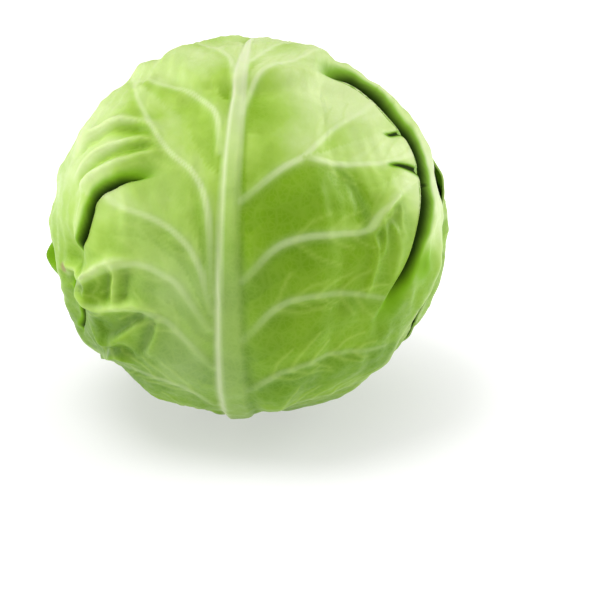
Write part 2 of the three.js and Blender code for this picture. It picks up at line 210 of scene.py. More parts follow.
def add_lamp(name, place, side, power):
    bpy.ops.object.light_add(type="AREA", location=place)
    lamp = bpy.context.object
    lamp.name = name
    lamp.data.shape = "DISK"
    lamp.data.size = side
    lamp.data.energy = power
    turn_towards(lamp, HEAD_CENTRE - np.array(place))
    return lamp


def add_surround():
    world = bpy.data.worlds.new("surround")
    bpy.context.scene.world = world
    world.use_nodes = True
    tree = world.node_tree
    background = tree.nodes["Background"]
    background.inputs["Color"].default_value = WHITE
    ray = tree.nodes.new("ShaderNodeLightPath")
    strength = tree.nodes.new("ShaderNodeMix")
    strength.inputs["A"].default_value = SURROUND_LIGHT
    strength.inputs["B"].default_value = SURROUND_SEEN
    tree.links.new(ray.outputs["Is Camera Ray"], strength.inputs["Factor"])
    tree.links.new(strength.outputs["Result"], background.inputs["Strength"])


add_lamp("key_lamp", **KEY)
add_lamp("left_lamp", **LEFT)
add_lamp("right_lamp", **RIGHT)
add_surround()
bpy.context.scene.view_settings.view_transform = "Standard"
print("three lamps and a white surround")

# %% [markdown]
# ## The floor
# The head stands on a white floor that glows, a painted light, so that little shadow is left. The glow is
# weaker near the head, which paints a soft shadow round it, and full further away.

# %% Floor
FLOOR_SIDE = 8.0
FLOOR_GREY = 0.35
FLOOR_ROUGHNESS = 0.8
# painted glow of the floor: weaker near the head for a painted soft shadow, full further out
GLOW_NEAR, GLOW_FAR = 0.5, 1.0
GLOW_FADE = (0.03, 0.2)  # metres from the middle


def floor_finish():
    look = Finish("white_floor")
    distance = look.add("ShaderNodeVectorMath", operation="LENGTH")
    look.join(look.add("ShaderNodeTexCoord").outputs["Object"], distance.inputs[0])
    look.set("Base Color", (FLOOR_GREY, FLOOR_GREY, FLOOR_GREY, 1))
    look.set("Roughness", FLOOR_ROUGHNESS)
    look.set("Emission Color", WHITE)
    look.set("Emission Strength", look.fade(distance.outputs["Value"], *GLOW_FADE, GLOW_NEAR, GLOW_FAR))
    return look.material


def add_floor():
    bpy.ops.object.select_all(action="DESELECT")
    bpy.ops.mesh.primitive_plane_add(size=FLOOR_SIDE, location=(0, 0, 0))
    floor = bpy.context.object
    floor.name = "floor"
    floor.data.materials.append(floor_finish())
    return floor


floor = add_floor()
print(floor.name, FLOOR_SIDE, "m wide")

# %% [markdown]
# ## A leaf laid flat
# Every leaf is first thought of as flat, in millimetres: x to its right and y up its rib, from a point in
# its middle. A ball of 88 mm then turns these millimetres into directions from the middle of the head, as a
# map is laid back on a globe. Laying the lines of a leaf out flat is much easier than drawing them on a
# ball.

# %% Flat leaves
MM = 0.001
LEAF_ARC_RADIUS = 88.0
TINY = 1e-9  # keeps a division by zero away


def smoothstep(low, high, value):
    share = np.clip((value - low) / (high - low), 0, 1)
    return share * share * (3 - 2 * share)


def along(pair, share):
    """The value at a share of the way from the first of a pair to the second."""
    return pair[0] + (pair[1] - pair[0]) * share


def bell(value, middle, reach):
    """1 at the middle, falling smoothly to about a third at the reach and to nothing beyond it."""
    return np.exp(-(((value - middle) / reach) ** 2))


def smooth_through(points, value):
    """Reads a smooth curve through points (x, y) whose x rises."""
    xs, ys = np.array(points, float).T
    slopes = np.zeros_like(ys)
    slopes[1:-1] = (ys[2:] - ys[:-2]) / (xs[2:] - xs[:-2])
    i = np.clip(np.searchsorted(xs, value) - 1, 0, len(xs) - 2)
    span = xs[i + 1] - xs[i]
    rise = ys[i + 1] - ys[i]
    t = np.clip((value - xs[i]) / span, 0, 1)
    leaving = slopes[i] * span - rise
    arriving = rise - slopes[i + 1] * span
    return ys[i] + t * rise + t * (1 - t) * ((1 - t) * leaving + t * arriving)


def leaf_frame(turn):
    angle = math.radians(turn)
    middle = np.array([math.sin(angle), -math.cos(angle), 0.0])
    right = np.array([math.cos(angle), math.sin(angle), 0.0])
    return {"middle": middle, "right": right, "up": np.array([0.0, 0.0, 1.0])}


def to_direction(leaf, x, y):
    reach = np.hypot(x, y)
    angle = reach / LEAF_ARC_RADIUS
    sine = np.sinc(angle / math.pi) / LEAF_ARC_RADIUS
    across = np.outer(sine * x, leaf["right"]) + np.outer(sine * y, leaf["up"])
    return np.outer(np.cos(angle), leaf["middle"]) + across


def to_flat(leaf, direction):
    angle = np.arccos(np.clip(direction @ leaf["middle"], -1, 1))
    x = direction @ leaf["right"]
    y = direction @ leaf["up"]
    scale = LEAF_ARC_RADIUS * angle / np.maximum(np.hypot(x, y), TINY)
    return x * scale, y * scale


def margin_radius(leaf, bearing):
    size = np.abs(bearing)
    left = smooth_through(leaf["left_margin"], size)
    right = smooth_through(leaf["right_margin"], size)
    return np.where(bearing < 0, left, right)


def bearing_of(x, y):
    return np.degrees(np.arctan2(x, y))


def inset_of(leaf, x, y):
    """How far inside its margin a flat point of a leaf is."""
    return margin_radius(leaf, bearing_of(x, y)) - np.hypot(x, y)


print("one millimetre of a flat leaf is", round(math.degrees(1 / LEAF_ARC_RADIUS), 2), "degrees of the ball")

# %% [markdown]
# ## The seven leaves
# A leaf's outline is a handful of distances from its middle, each with its bearing from the tip in degrees,
# and a smooth curve joins them. The front leaf and the outermost one have outlines of their own, and the
# others share one. Each leaf is turned on from the one inside it by the golden angle, as it grew, so that
# none sits straight over another.

# %% The seven leaves
GOLDEN_ANGLE = 137.5
FRONT_TURN = -6.0
BASE_REACH = 118.0
STALK_END = [(150, 103), (167, 110), (180, BASE_REACH)]
PLAIN_MARGIN = [(0, 160), (40, 127), (80, 113), (120, 106)] + STALK_END
FRONT_LEFT_MARGIN = [(0, 168), (40, 136), (80, 121), (97, 98), (112, 106)] + STALK_END
FRONT_RIGHT_MARGIN = [(0, 168), (35, 144), (60, 133), (80, 124), (100, 106), (120, 96)] + STALK_END
RIGHT_LEFT_MARGIN = [(0, 86), (30, 76), (54, 75), (82, 80), (112, 92)] + STALK_END
RIGHT_RIGHT_MARGIN = [(0, 92), (40, 111), (80, 113), (120, 106)] + STALK_END
LEAF_ORDER = [
    "front_under_leaf",
    "back_under_leaf",
    "left_under_leaf",
    "right_under_leaf",
    "back_left_leaf",
    "front_leaf",
    "right_leaf",
]
OWN_MARGINS = {
    "front_leaf": (FRONT_LEFT_MARGIN, FRONT_RIGHT_MARGIN),
    "right_leaf": (RIGHT_LEFT_MARGIN, RIGHT_RIGHT_MARGIN),
}
WRAPPERS = LEAF_ORDER[4:]


def make_leaf(order, name):
    turn = FRONT_TURN + (order - LEAF_ORDER.index("front_leaf")) * GOLDEN_ANGLE
    left, right = OWN_MARGINS.get(name, (PLAIN_MARGIN, PLAIN_MARGIN))
    return {
        "name": name,
        "order": order,
        "wrapper": name in WRAPPERS,
        "left_margin": left,
        "right_margin": right,
        "tip": left[0][1],
        **leaf_frame(turn),
    }


leaves = [make_leaf(order, name) for order, name in enumerate(LEAF_ORDER)]
print("leaves from the heart outwards:", ", ".join(leaf["name"] for leaf in leaves))

# %% [markdown]
# ## How the leaves lie on each other
# A leaf rests on everything inside it. The height of its bed is the heart, plus one layer for each inner
# leaf that reaches under it. Just past an inner leaf's margin the layer fades out, so that the outer leaf
# drapes down over the edge. Where a leaf is covered it is pressed flat, and only its free parts keep their
# relief.

# %% Beds
HEART_HALF_WIDTH = 77.0  # millimetres, as are the lengths below
HEART_HALF_HEIGHT_UP = 67.0
HEART_HALF_HEIGHT_DOWN = 66.0
HEART_FULLNESS = 2.3
HEART_RELIEF = 2.2
BLADE = 1.1
AIR_UNDER_WRAPPER = 1.5
AIR_UNDER_HIDDEN = 1.9
AIR_OVER = 0.4
DRAPE_REACH, DRAPE_FADE = 6.0, 14.0
COVER_REACH, COVER_FADE = 1.5, 6.0


def coverage(leaf, direction, reach, fade):
    x, y = to_flat(leaf, direction)
    return smoothstep(-reach - fade, -reach, inset_of(leaf, x, y))


def heart_ball(direction):
    half_height = np.where(direction[:, 2] > 0, HEART_HALF_HEIGHT_UP, HEART_HALF_HEIGHT_DOWN)
    across = np.hypot(direction[:, 0], direction[:, 1]) / HEART_HALF_WIDTH
    upright = np.abs(direction[:, 2]) / half_height
    return (across**HEART_FULLNESS + upright**HEART_FULLNESS) ** (-1 / HEART_FULLNESS)


def air_under(leaf):
    return AIR_UNDER_WRAPPER if leaf["wrapper"] else AIR_UNDER_HIDDEN


def bed_radius(leaf, direction):
    radius = heart_ball(direction) + HEART_RELIEF
    for inner in leaves[: leaf["order"]]:
        layer = air_under(inner) + BLADE + AIR_OVER
        radius += layer * coverage(inner, direction, DRAPE_REACH, DRAPE_FADE)
    return radius + air_under(leaf)


def pressed(leaf, direction):
    share = np.zeros(len(direction))
    for outer in leaves[leaf["order"] + 1 :]:
        share = np.maximum(share, coverage(outer, direction, COVER_REACH, COVER_FADE))
    return share


print("the bed of a leaf is the heart and every leaf inside it")

# %% [markdown]
# ## Lines on a leaf
# Veins, pleats and wrinkles all follow lines, so one helper measures how far every point of a leaf is from
# a line, on which side, and how far along it. A line needs only the few points where it bends: a smooth
# curve is drawn through them.

# %% Lines
LINE_STEPS = 5  # between two given points


def smooth_line(points):
    points = np.array(points, float)
    steps = np.linspace(0, len(points) - 1, (len(points) - 1) * LINE_STEPS + 1)
    before = np.vstack([2 * points[0] - points[1], points[:-1]])
    after = np.vstack([points[1:], 2 * points[-1] - points[-2]])
    slopes = (after - before) / 2
    i = np.minimum(steps.astype(int), len(points) - 2)
    t = (steps - i)[:, None]
    start, end = points[i], points[i + 1]
    rise = end - start
    bend = (1 - t) * (slopes[i] - rise) + t * (rise - slopes[i + 1])
    return start + t * rise + t * (1 - t) * bend


def from_line(line, x, y):
    """Offset from the nearest point of a line, signed distance (positive left of it) and share along it."""
    offset = np.zeros((2, len(x)))
    distance = np.full(len(x), np.inf)
    side = np.ones(len(x))
    share = np.zeros(len(x))
    for i in range(len(line) - 1):
        (ax, ay), (ex, ey) = line[i], line[i + 1] - line[i]
        t = np.clip(((x - ax) * ex + (y - ay) * ey) / (ex * ex + ey * ey), 0, 1)
        dx, dy = x - ax - t * ex, y - ay - t * ey
        here = np.hypot(dx, dy)
        nearer = here < distance
        offset[:, nearer] = dx[nearer], dy[nearer]
        side[nearer] = np.where(ex * dy - ey * dx < 0, -1.0, 1.0)[nearer]
        share[nearer] = (i + t[nearer]) / (len(line) - 1)
        distance[nearer] = here[nearer]
    return offset, side * distance, share


print("lines are smooth curves through a few points")

# %% [markdown]
# ## Ribs and veins
# A cabbage leaf has one broad pale rib. Side veins leave it at a steep angle, lie beside it for a while and
# then bend out to the margin, thinning on the way and forking. The front leaf is the one that is looked at,
# so its veins are laid one by one. The other leaves get theirs from a rule with a little seeded unevenness.

# %% Veins
RIB_HALF_WIDTHS = [(0.0, 10.0), (0.25, 7.2), (0.52, 4.8), (0.71, 4.2), (0.87, 3.0), (1.0, 1.2)]
FRONT_VEINS = [
    [(-9, -88), (-25, -77), (-50, -77), (-78, -82)],
    [(-8, -60), (-21, -47), (-45, -42), (-78, -48)],
    [(-7, -30), (-17, -17), (-28, -8), (-43, -6), (-62, -10), (-82, -9)],
    [(-7, -10), (-19, 7), (-27, 12), (-40, 15), (-56, 9), (-72, -1), (-92, -4)],
    [(-6, -2), (-10, 14), (-17, 26), (-27, 33), (-40, 37), (-62, 40)],
    [(-6, 6), (-7, 32), (-10, 46), (-17, 57), (-30, 66), (-46, 82), (-67, 104), (-84, 118)],
    [(-5, 66), (-8, 83), (-15, 92), (-26, 99), (-46, 104), (-76, 110)],
    [(-2, 104), (-6, 119), (-16, 130), (-38, 146), (-54, 156)],
    [(9, -76), (24, -64), (48, -62), (78, -66)],
    [(8, -44), (22, -31), (45, -28), (76, -36)],
    [(7, -14), (20, 0), (33, 4), (52, 2), (74, -6)],
    [(7, 12), (20, 25), (33, 29), (48, 29), (63, 29), (72, 37), (90, 46)],
    [(6, 44), (22, 57), (33, 63), (42, 71), (54, 81), (78, 93), (102, 102)],
    [(33, 63), (47, 61), (78, 60), (104, 64)],
    [(4, 86), (9, 104), (20, 115), (37, 124), (62, 136), (84, 144)],
    [(2, 110), (10, 127), (24, 142), (42, 156)],
]
PLAIN_VEIN_ROOTS = (-78, -50, -22, 6, 36, 68, 100)
PLAIN_VEIN_BEARINGS = (142, 119, 97, 76, 54, 34, 17)
VEIN_STAGGER = 5.0
VEIN_START, VEIN_END = 0.8, 0.96  # of the rib's half width, and of the way to the margin
VEIN_BEND, VEIN_BEND_STAGGER = (13, 17), 3
VEIN_ARCH = 7
VEIN_STAYS = (-2, 1)  # holds a vein beside the rib before it bends


def along_rib(leaf, y):
    return np.clip((y + BASE_REACH) / (leaf["tip"] + BASE_REACH), 0, 1)


def rib_half_width(leaf, y):
    return smooth_through(RIB_HALF_WIDTHS, along_rib(leaf, y))


def plain_veins(leaf):
    draw = np.random.default_rng(leaf["order"])
    squeeze = (leaf["tip"] + BASE_REACH) / (PLAIN_MARGIN[0][1] + BASE_REACH)
    lines = []
    for sign in (-1, 1):
        for root, bearing in zip(PLAIN_VEIN_ROOTS, PLAIN_VEIN_BEARINGS):
            height = (root + BASE_REACH) * squeeze - BASE_REACH + draw.uniform(-VEIN_STAGGER, VEIN_STAGGER)
            angle = math.radians(bearing + draw.uniform(-VEIN_STAGGER, VEIN_STAGGER))
            reach = VEIN_END * float(margin_radius(leaf, np.array([sign * math.degrees(angle)]))[0])
            end = np.array([sign * reach * math.sin(angle), reach * math.cos(angle)])
            start = np.array([sign * VEIN_START * float(rib_half_width(leaf, height)), height])
            unevenness = draw.uniform(-VEIN_BEND_STAGGER, VEIN_BEND_STAGGER)
            bend = start + np.array([sign * VEIN_BEND[0], VEIN_BEND[1] + unevenness])
            middle = (bend + end) / 2 + np.array([0, draw.uniform(0, VEIN_ARCH)])
            beside = (start + bend) / 2 + np.array([sign * VEIN_STAYS[0], VEIN_STAYS[1]])
            lines.append([start, beside, bend, middle, end])
    return lines


def vein_lines(leaf):
    veins = FRONT_VEINS if leaf["name"] == "front_leaf" else plain_veins(leaf)
    return [smooth_line(points) for points in veins]


print(f"{len(FRONT_VEINS)} veins laid by hand on the front leaf")

# %% [markdown]
# ## Veinlets
# Between the veins runs a net of finer ones. The larger of them leave each vein in pairs and curl towards
# its end. For all these lines only the nearest one counts at any point, so they are laid one after the
# other and each takes over where it is nearer. Distances are kept in half widths, so that a line can thin
# out on its way.

# %% Veinlets
VEIN_HALF_WIDTHS = (2.4, 1.9)  # at the root and at the end
VEINLET_HALF_WIDTH, VEINLET_TAPER = 1.1, 0.4
VEINLET_LENGTH, VEINLET_LENGTHS = 24.0, (0.6, 1.1)
VEINLET_SHRINKS = (1.1, 0.7)
VEINLET_TURN, VEINLET_TURN_STAGGER = math.radians(38), 0.2
VEINLET_CURL = (0.1, 0.5)
VEINLET_SHARES = (0.3, 0.45, 0.6, 0.75, 0.88)
LINE_REACH = 12  # millimetres past a line where it is still measured
NO_LINE = 9.0


def veinlets_of(line, draw):
    """Fine side branches that leave a vein on both sides."""
    found = []
    for share in VEINLET_SHARES:
        i = int(share * (len(line) - 2))
        heading = math.atan2(*(line[i + 1] - line[i])[::-1])
        for side in (-1, 1):
            turn = heading + side * (VEINLET_TURN + draw.uniform(-VEINLET_TURN_STAGGER, VEINLET_TURN_STAGGER))
            length = VEINLET_LENGTH * draw.uniform(*VEINLET_LENGTHS) * along(VEINLET_SHRINKS, share)
            step = 0.5 * length * np.array([math.cos(turn), math.sin(turn)])
            onward = turn - side * draw.uniform(*VEINLET_CURL)
            end = line[i] + step + 0.5 * length * np.array([math.cos(onward), math.sin(onward)])
            found.append([line[i], line[i] + step, end])
    return found


def lay_lines(lines, half_width, x, y):
    """Distance to the nearest of many lines in half widths, signed, and the share along that line."""
    nearest = np.full(len(x), NO_LINE)
    reached = np.zeros(len(x))
    for line in lines:
        low, high = line.min(axis=0) - LINE_REACH, line.max(axis=0) + LINE_REACH
        near = (x > low[0]) & (x < high[0]) & (y > low[1]) & (y < high[1])
        _, distance, share = from_line(line, x[near], y[near])
        distance = distance / half_width(share)
        better = np.abs(distance) < np.abs(nearest[near])
        nearest[near] = np.where(better, distance, nearest[near])
        reached[near] = np.where(better, share, reached[near])
    return nearest, reached


def vein_half_width(share):
    return along(VEIN_HALF_WIDTHS, share)


def veinlet_half_width(share):
    return VEINLET_HALF_WIDTH * (1 - VEINLET_TAPER * share)


print(2 * len(VEINLET_SHARES), "veinlets on every vein")

# %% [markdown]
# ## Pleats
# The front leaf is wider than the head is round, so it folds. On both sides the blade stands up to a lip
# and then tucks back under itself before it goes on to the margin. A pleat slides the blade along itself
# towards the fold line, which makes the overlap, and lifts the lip and the ridge outside it. How deep the
# blade is tucked in sets a painted shade there. A crease is a narrow groove that runs into a fold from its
# side, darkened with painted shade.

# %% Pleats
PLEAT_REACH = 20.0
RIDGE_OUTER_REACH = 13.0
RIDGE_FROM_FOLD, RIDGE_INNER_REACH = 2.3, 0.8  # in fold widths, as are the next three
TUCK_START, TUCK_FULL = 3.2, 1.1
TUCK_INSIDE = (1.0, 0.4)
FLATTENED_WIDTHS = 1.6
FOLD_STARTS, FOLD_ENDS = 0.25, 0.8  # shares along the line, as are the next two
OPENING_FADE = (0.5, 0.1)
CREASE_OPENS = 0.45
CREASE_WIDTHS = (0.6, 1.0)
UPPER_LEFT_FOLD = [(-28, 57), (-40, 51), (-50, 46), (-58, 41.5), (-61.5, 37)]
UPPER_LEFT_FOLD += [(-62.5, 30), (-65, 22), (-70, 14), (-80, 4)]
LOWER_LEFT_FOLD = [(-84, 2), (-78, -8), (-75, -20), (-79, -32), (-90, -46)]
RIGHT_FOLD = [(62, -30), (68, -16), (75, -2), (83, 11), (90, 24), (96, 36), (99, 48)]
RIGHT_FOLD += [(100, 60), (98, 70), (93, 80), (84, 92), (75, 101), (62, 111), (50, 116), (36, 111)]
PLEATS = {
    "front_leaf": [
        {"line": UPPER_LEFT_FOLD, "wide": 2.4, "opening": 0.0, "lap": 1.4, "lip": 2.8, "ridge": 5.0},
        {"line": LOWER_LEFT_FOLD, "wide": 2.6, "opening": 0.0, "lap": 1.2, "lip": 2.2, "ridge": 2.4},
        {"line": RIGHT_FOLD, "wide": 3.3, "opening": 0.4, "lap": 1.5, "lip": 2.8, "ridge": 4.6},
    ],
}
CREASES = {
    "front_leaf": [
        ([(78, 76), (86, 75), (95, 73), (102, 70)], 1.7),
        ([(74, 58), (83, 58.5), (92, 56), (99, 50), (104, 44)], 2.2),
    ],
}


def pleat(fold, x, y):
    """The slide of the blade, its rise, how deep it is tucked in, which sets the painted fold shade, and how
    flat it is drawn there.
    """
    offset, distance, share = from_line(smooth_line(fold["line"]), x, y)
    wide = fold["wide"] * (1 + fold["opening"] * smoothstep(*OPENING_FADE, share))
    widths = distance / wide
    strength = smoothstep(0.0, FOLD_STARTS, share) * smoothstep(1.0, FOLD_ENDS, share)
    pull = -strength * (wide + fold["lap"]) / wide * np.exp(0.5 - 0.5 * widths**2)
    lip = fold["lip"] * smoothstep(-1, 1, widths)
    lip = lip * np.exp(-np.maximum(distance - wide, 0) / PLEAT_REACH)
    past = distance + RIDGE_FROM_FOLD * wide
    reach = np.where(past > 0, RIDGE_INNER_REACH * wide, RIDGE_OUTER_REACH)
    ridge = fold["ridge"] * bell(past, 0, reach)
    tuck_and_painted_shade = strength * smoothstep(*TUCK_INSIDE, widths) * smoothstep(-TUCK_START, -TUCK_FULL, widths)
    flattened = strength * np.exp(-((widths / FLATTENED_WIDTHS) ** 4))
    return pull * offset, strength * (lip + ridge), tuck_and_painted_shade, flattened


def crease_line(points, wide, x, y):
    """A narrow crease that opens towards its end; the shallow groove is darkened with painted shade."""
    _, distance, share = from_line(smooth_line(points), x, y)
    return smoothstep(0.0, CREASE_OPENS, share) * bell(distance, 0, wide * along(CREASE_WIDTHS, share))


print("pleats:", {name: len(folds) for name, folds in PLEATS.items()})

# %% [markdown]
# ## Wrinkles and swellings
# Where a pleat draws the blade together, small ridges and valleys run out from it. Each is a line with a
# height, below zero for a valley, and a width. Low round swellings fill the blade out between the veins.
# Sculpting could make them too, but numbers are easy to shift until they lie as they do in the photo.

# %% Wrinkles
WRINKLE_CRISPNESS = 1.4
WRINKLE_STARTS, WRINKLE_ENDS = 0.2, 0.75  # shares along the line
WRINKLES = {
    "front_leaf": [
        ([(-105, 65), (-78, 72), (-60, 78), (-45, 79), (-34, 74)], 3.4, 2.8),
        ([(-96, 55), (-84, 65), (-67, 72), (-52, 75), (-42, 74)], -2.2, 2.4),
        ([(-90, 45), (-73, 58), (-56, 67), (-44, 70), (-34, 70)], 3.2, 2.6),
        ([(-88, 42), (-70, 53), (-57, 61.5), (-44, 66), (-36, 67)], -2.2, 2.2),
        ([(-84, 38), (-64, 50), (-49, 58), (-40, 63), (-30, 67)], 3.0, 2.6),
        ([(-96, 1), (-84, 1), (-70, 2), (-58, 10), (-48, 15), (-34, 15)], 4.2, 3.0),
        ([(-84, -2), (-75, -6), (-62, -11), (-50, -7), (-36, -3), (-24, -6)], 4.2, 3.0),
        ([(-48, 15), (-49, 5), (-52, -7)], 2.8, 2.2),
        ([(-54, 12), (-56, 2), (-58, -8)], -2.4, 2.6),
        ([(-44, 14), (-45, 4), (-47, -5)], -1.8, 2.2),
        ([(-64, 8), (-66, 0), (-67, -9)], 2.2, 2.2),
        ([(-32, -7), (-36, -18), (-41, -30)], -2.6, 2.4),
        ([(-28, -6), (-31, -17), (-36, -30)], 2.0, 2.4),
        ([(-68, -18), (-54, -21), (-42, -11), (-34, -6)], -2.8, 2.8),
        ([(-76, -22), (-60, -31), (-49, -22), (-38, -12), (-30, -6)], 2.8, 2.8),
        ([(-70, -42), (-52, -30), (-42, -32)], -2.4, 2.4),
        ([(-84, -62), (-66, -46), (-54, -36), (-40, -38)], 2.6, 2.8),
        ([(-72, -74), (-62, -53), (-58, -40)], -2.0, 2.2),
        ([(62, 24), (71, 34), (78, 41), (86, 45)], 2.8, 2.8),
        ([(50, 62), (58, 50), (63, 38), (66, 28)], -3.2, 4.4),
        ([(62, 31), (66, 18), (60, -6)], 1.8, 2.2),
        ([(70, 35), (71, 25), (68, 14)], 1.3, 1.6),
        ([(75, 32), (77, 19), (69, -4)], 1.6, 2.0),
        ([(84, 40), (81, 30), (80, 20)], 1.2, 1.7),
    ],
}
BULGES = {
    "front_leaf": [((-80, 95), 38, 4.0), ((-68, 120), 20, 3.0), ((60, 130), 18, 3.6)],
    "back_left_leaf": [((97, -4), 10, 6.5)],
}


def wrinkle(points, wide, x, y):
    _, distance, share = from_line(smooth_line(points), x, y)
    ends = smoothstep(0.0, WRINKLE_STARTS, share) * smoothstep(1.0, WRINKLE_ENDS, share)
    return ends * np.exp(-(np.abs(distance / wide) ** WRINKLE_CRISPNESS))


def spots(table, leaf, x, y):
    """A leaf's own round soft spots, each with its place, its reach and its strength."""
    total = np.zeros(len(x))
    for (place_x, place_y), reach, strength in table.get(leaf["name"], []):
        total += strength * np.exp(-(((x - place_x) ** 2 + (y - place_y) ** 2) / reach**2))
    return total


print("wrinkles:", {name: len(lines) for name, lines in WRINKLES.items()})

# %% [markdown]
# ## Margins
# A cabbage leaf's margin is longer than the round it has to lie on, so it waves, and here and there it
# stands off the head in a lip. The waves die out towards the tip and towards the stalk. The left margin of
# the outermost leaf lies tight, so it is drawn in instead.

# %% Margins
MARGIN_BAND = 24.0
WAVE_HEIGHT = 1.6
WAVES_PER_SIDE = 6.5
WAVES_FROM, WAVES_UNTIL = (15, 50), (120, 160)  # bearings from the tip in degrees
CALM_MARGINS = {"right_leaf": 0.2, "front_leaf": 0.5}
LIPS = {
    "right_leaf": [(60, 110, 5.0)],
    "front_leaf": [(-92, -66, 1.2), (68, 104, 3.0)],
    "back_left_leaf": [(-70, -20, 5.0)],
}
LIP_FULLNESS = 0.7
HUG = 1.9
HUG_FROM, HUG_UNTIL = (5, -20), (-170, -140)


def margin_lift(leaf, x, y):
    bearing = bearing_of(x, y)
    edge = 1 - smoothstep(0, MARGIN_BAND, inset_of(leaf, x, y))
    phase = np.abs(bearing) / 180 * WAVES_PER_SIDE * 2 * math.pi + leaf["order"]
    waving = smoothstep(*WAVES_FROM, np.abs(bearing)) * (1 - smoothstep(*WAVES_UNTIL, np.abs(bearing)))
    lift = WAVE_HEIGHT * CALM_MARGINS.get(leaf["name"], 1.0) * (0.5 + 0.5 * np.sin(phase)) * waving
    for low, high, rise in LIPS.get(leaf["name"], []):
        share = np.clip((bearing - low) / (high - low), 0, 1)
        lift = lift + rise * np.sin(math.pi * share) ** LIP_FULLNESS
    return lift * edge**2


def hug(leaf, x, y):
    """How far a margin that lies tight is drawn in."""
    if leaf["name"] != "right_leaf":
        return np.zeros(len(x))
    bearing = bearing_of(x, y)
    left = smoothstep(*HUG_FROM, bearing) * smoothstep(*HUG_UNTIL, bearing)
    return HUG * left * (1 - smoothstep(0, MARGIN_BAND, inset_of(leaf, x, y)))


print("lips:", LIPS)

# %% [markdown]
# ## The rib
# The rib is a low rounded ridge, thick at the stalk and thin at the tip. On the lower half of the leaf it
# is as green as the blade, with a painted highlight along its left side and painted shade along its right.
# Higher up it turns pale all over. These values go into the finish as paint, because the light alone can't
# turn a green ridge pale.

# %% Rib
RIB_SHIFT = {"front_leaf": 1.5}
RIB_HEIGHTS = (2.8, 0.6)  # at the stalk and at the tip
RIB_GREEN_BELOW, RIB_PALE_ABOVE = 0.5, 0.9  # shares of its length
RIB_PAINT_LOW, RIB_PAINT_GAIN = 0.1, 0.75
RIB_SIDES = (0.55, 1.15)  # in half widths, as are the places and widths below
OFF_RIB = (1.0, 1.8)
# a painted highlight along the rib's left side
RIB_LEFT_HIGHLIGHT = {"strength": 0.6, "middle": -0.85, "reach": 0.24}
RIB_RIGHT_LINE = {"strength": 0.35, "middle": 0.75, "reach": 0.35}
# painted shade along the rib's right side
RIB_SHADE = {"strength": 0.16, "middle": 1.05, "reach": 0.3}


def stripe(across, strength, middle, reach):
    return strength * bell(across, middle, reach)


def model_rib(leaf, x, y):
    """The rib's height, its pale paint with a painted highlight on its left side, the painted shade along its
    right side, and how far a point is off it (0 to 1).
    """
    share = along_rib(leaf, y)
    across = (x - RIB_SHIFT.get(leaf["name"], 0)) / rib_half_width(leaf, y)
    body = 1 - smoothstep(*RIB_SIDES, np.abs(across))
    top = smoothstep(RIB_GREEN_BELOW, RIB_PALE_ABOVE, share)
    height = along(RIB_HEIGHTS, share) * body
    paint = body * (RIB_PAINT_LOW + RIB_PAINT_GAIN * top) + stripe(across, **RIB_LEFT_HIGHLIGHT)
    paint = np.clip(paint + top * stripe(across, **RIB_RIGHT_LINE), 0, 1)
    shade = (1 - top) * stripe(across, **RIB_SHADE)
    return height, paint, shade, smoothstep(*OFF_RIB, np.abs(across))


print("the rib rises", RIB_HEIGHTS, "mm at the stalk and at the tip")

# %% [markdown]
# ## The relief of a blade
# The blade puffs up a little between its veins, the veins are low ridges, and the whole is never quite
# even. All of this is added up into one height above the bed. Light and dark sides of veins and wrinkles go
# with it, as a small change of tone, because the soft light alone would hardly show such low forms.

# %% Relief
VEIN_HEIGHTS = (1.2, 0.3)
VEIN_SIDE_SHADE, VEIN_SIDE_REACH = 0.16, 7.0
VEIN_SIDE_FADE = (0.3, 1.5)
VEIN_PALE_ROOT, VEIN_PALE_FROM, VEIN_PALE_LOSS = (0.35, 1.0), 0.25, 0.5
VEIN_PALE_LOW, VEIN_PALE_RISE = (0.3, 1.0), (-25, 75)
VEINLET_HEIGHT, VEINLET_SEED = 0.25, 100
PUFF_HEIGHT, PUFF_REACH = 0.8, 6.0
UNEVENNESS = [(0.4, 0, 34), (0.15, 50, 11)]  # height, seed and wavelength
RIPPLE_COUNT, RIPPLE_SPREAD = 9, (0.7, 1.4)
WRINKLE_SHADE, WRINKLE_CREST, WRINKLE_FLANK = 0.1, 1.6, 2.4


def ripples(seed, x, y, wavelength):
    """Smooth uneven bumps of about one height: a few waves that run across each other."""
    draw = np.random.default_rng(seed)
    total = np.zeros(len(x))
    for _ in range(RIPPLE_COUNT):
        heading, phase = draw.uniform(0, 2 * math.pi, 2)
        number = 2 * math.pi / (wavelength * draw.uniform(*RIPPLE_SPREAD))
        total += np.sin(number * (x * math.cos(heading) + y * math.sin(heading)) + phase)
    return total / math.sqrt(RIPPLE_COUNT / 2)


def vein_paleness(share, y):
    pale = along(VEIN_PALE_ROOT, smoothstep(0, VEIN_PALE_FROM, share)) * (1 - VEIN_PALE_LOSS * share)
    return pale * along(VEIN_PALE_LOW, smoothstep(*VEIN_PALE_RISE, y))


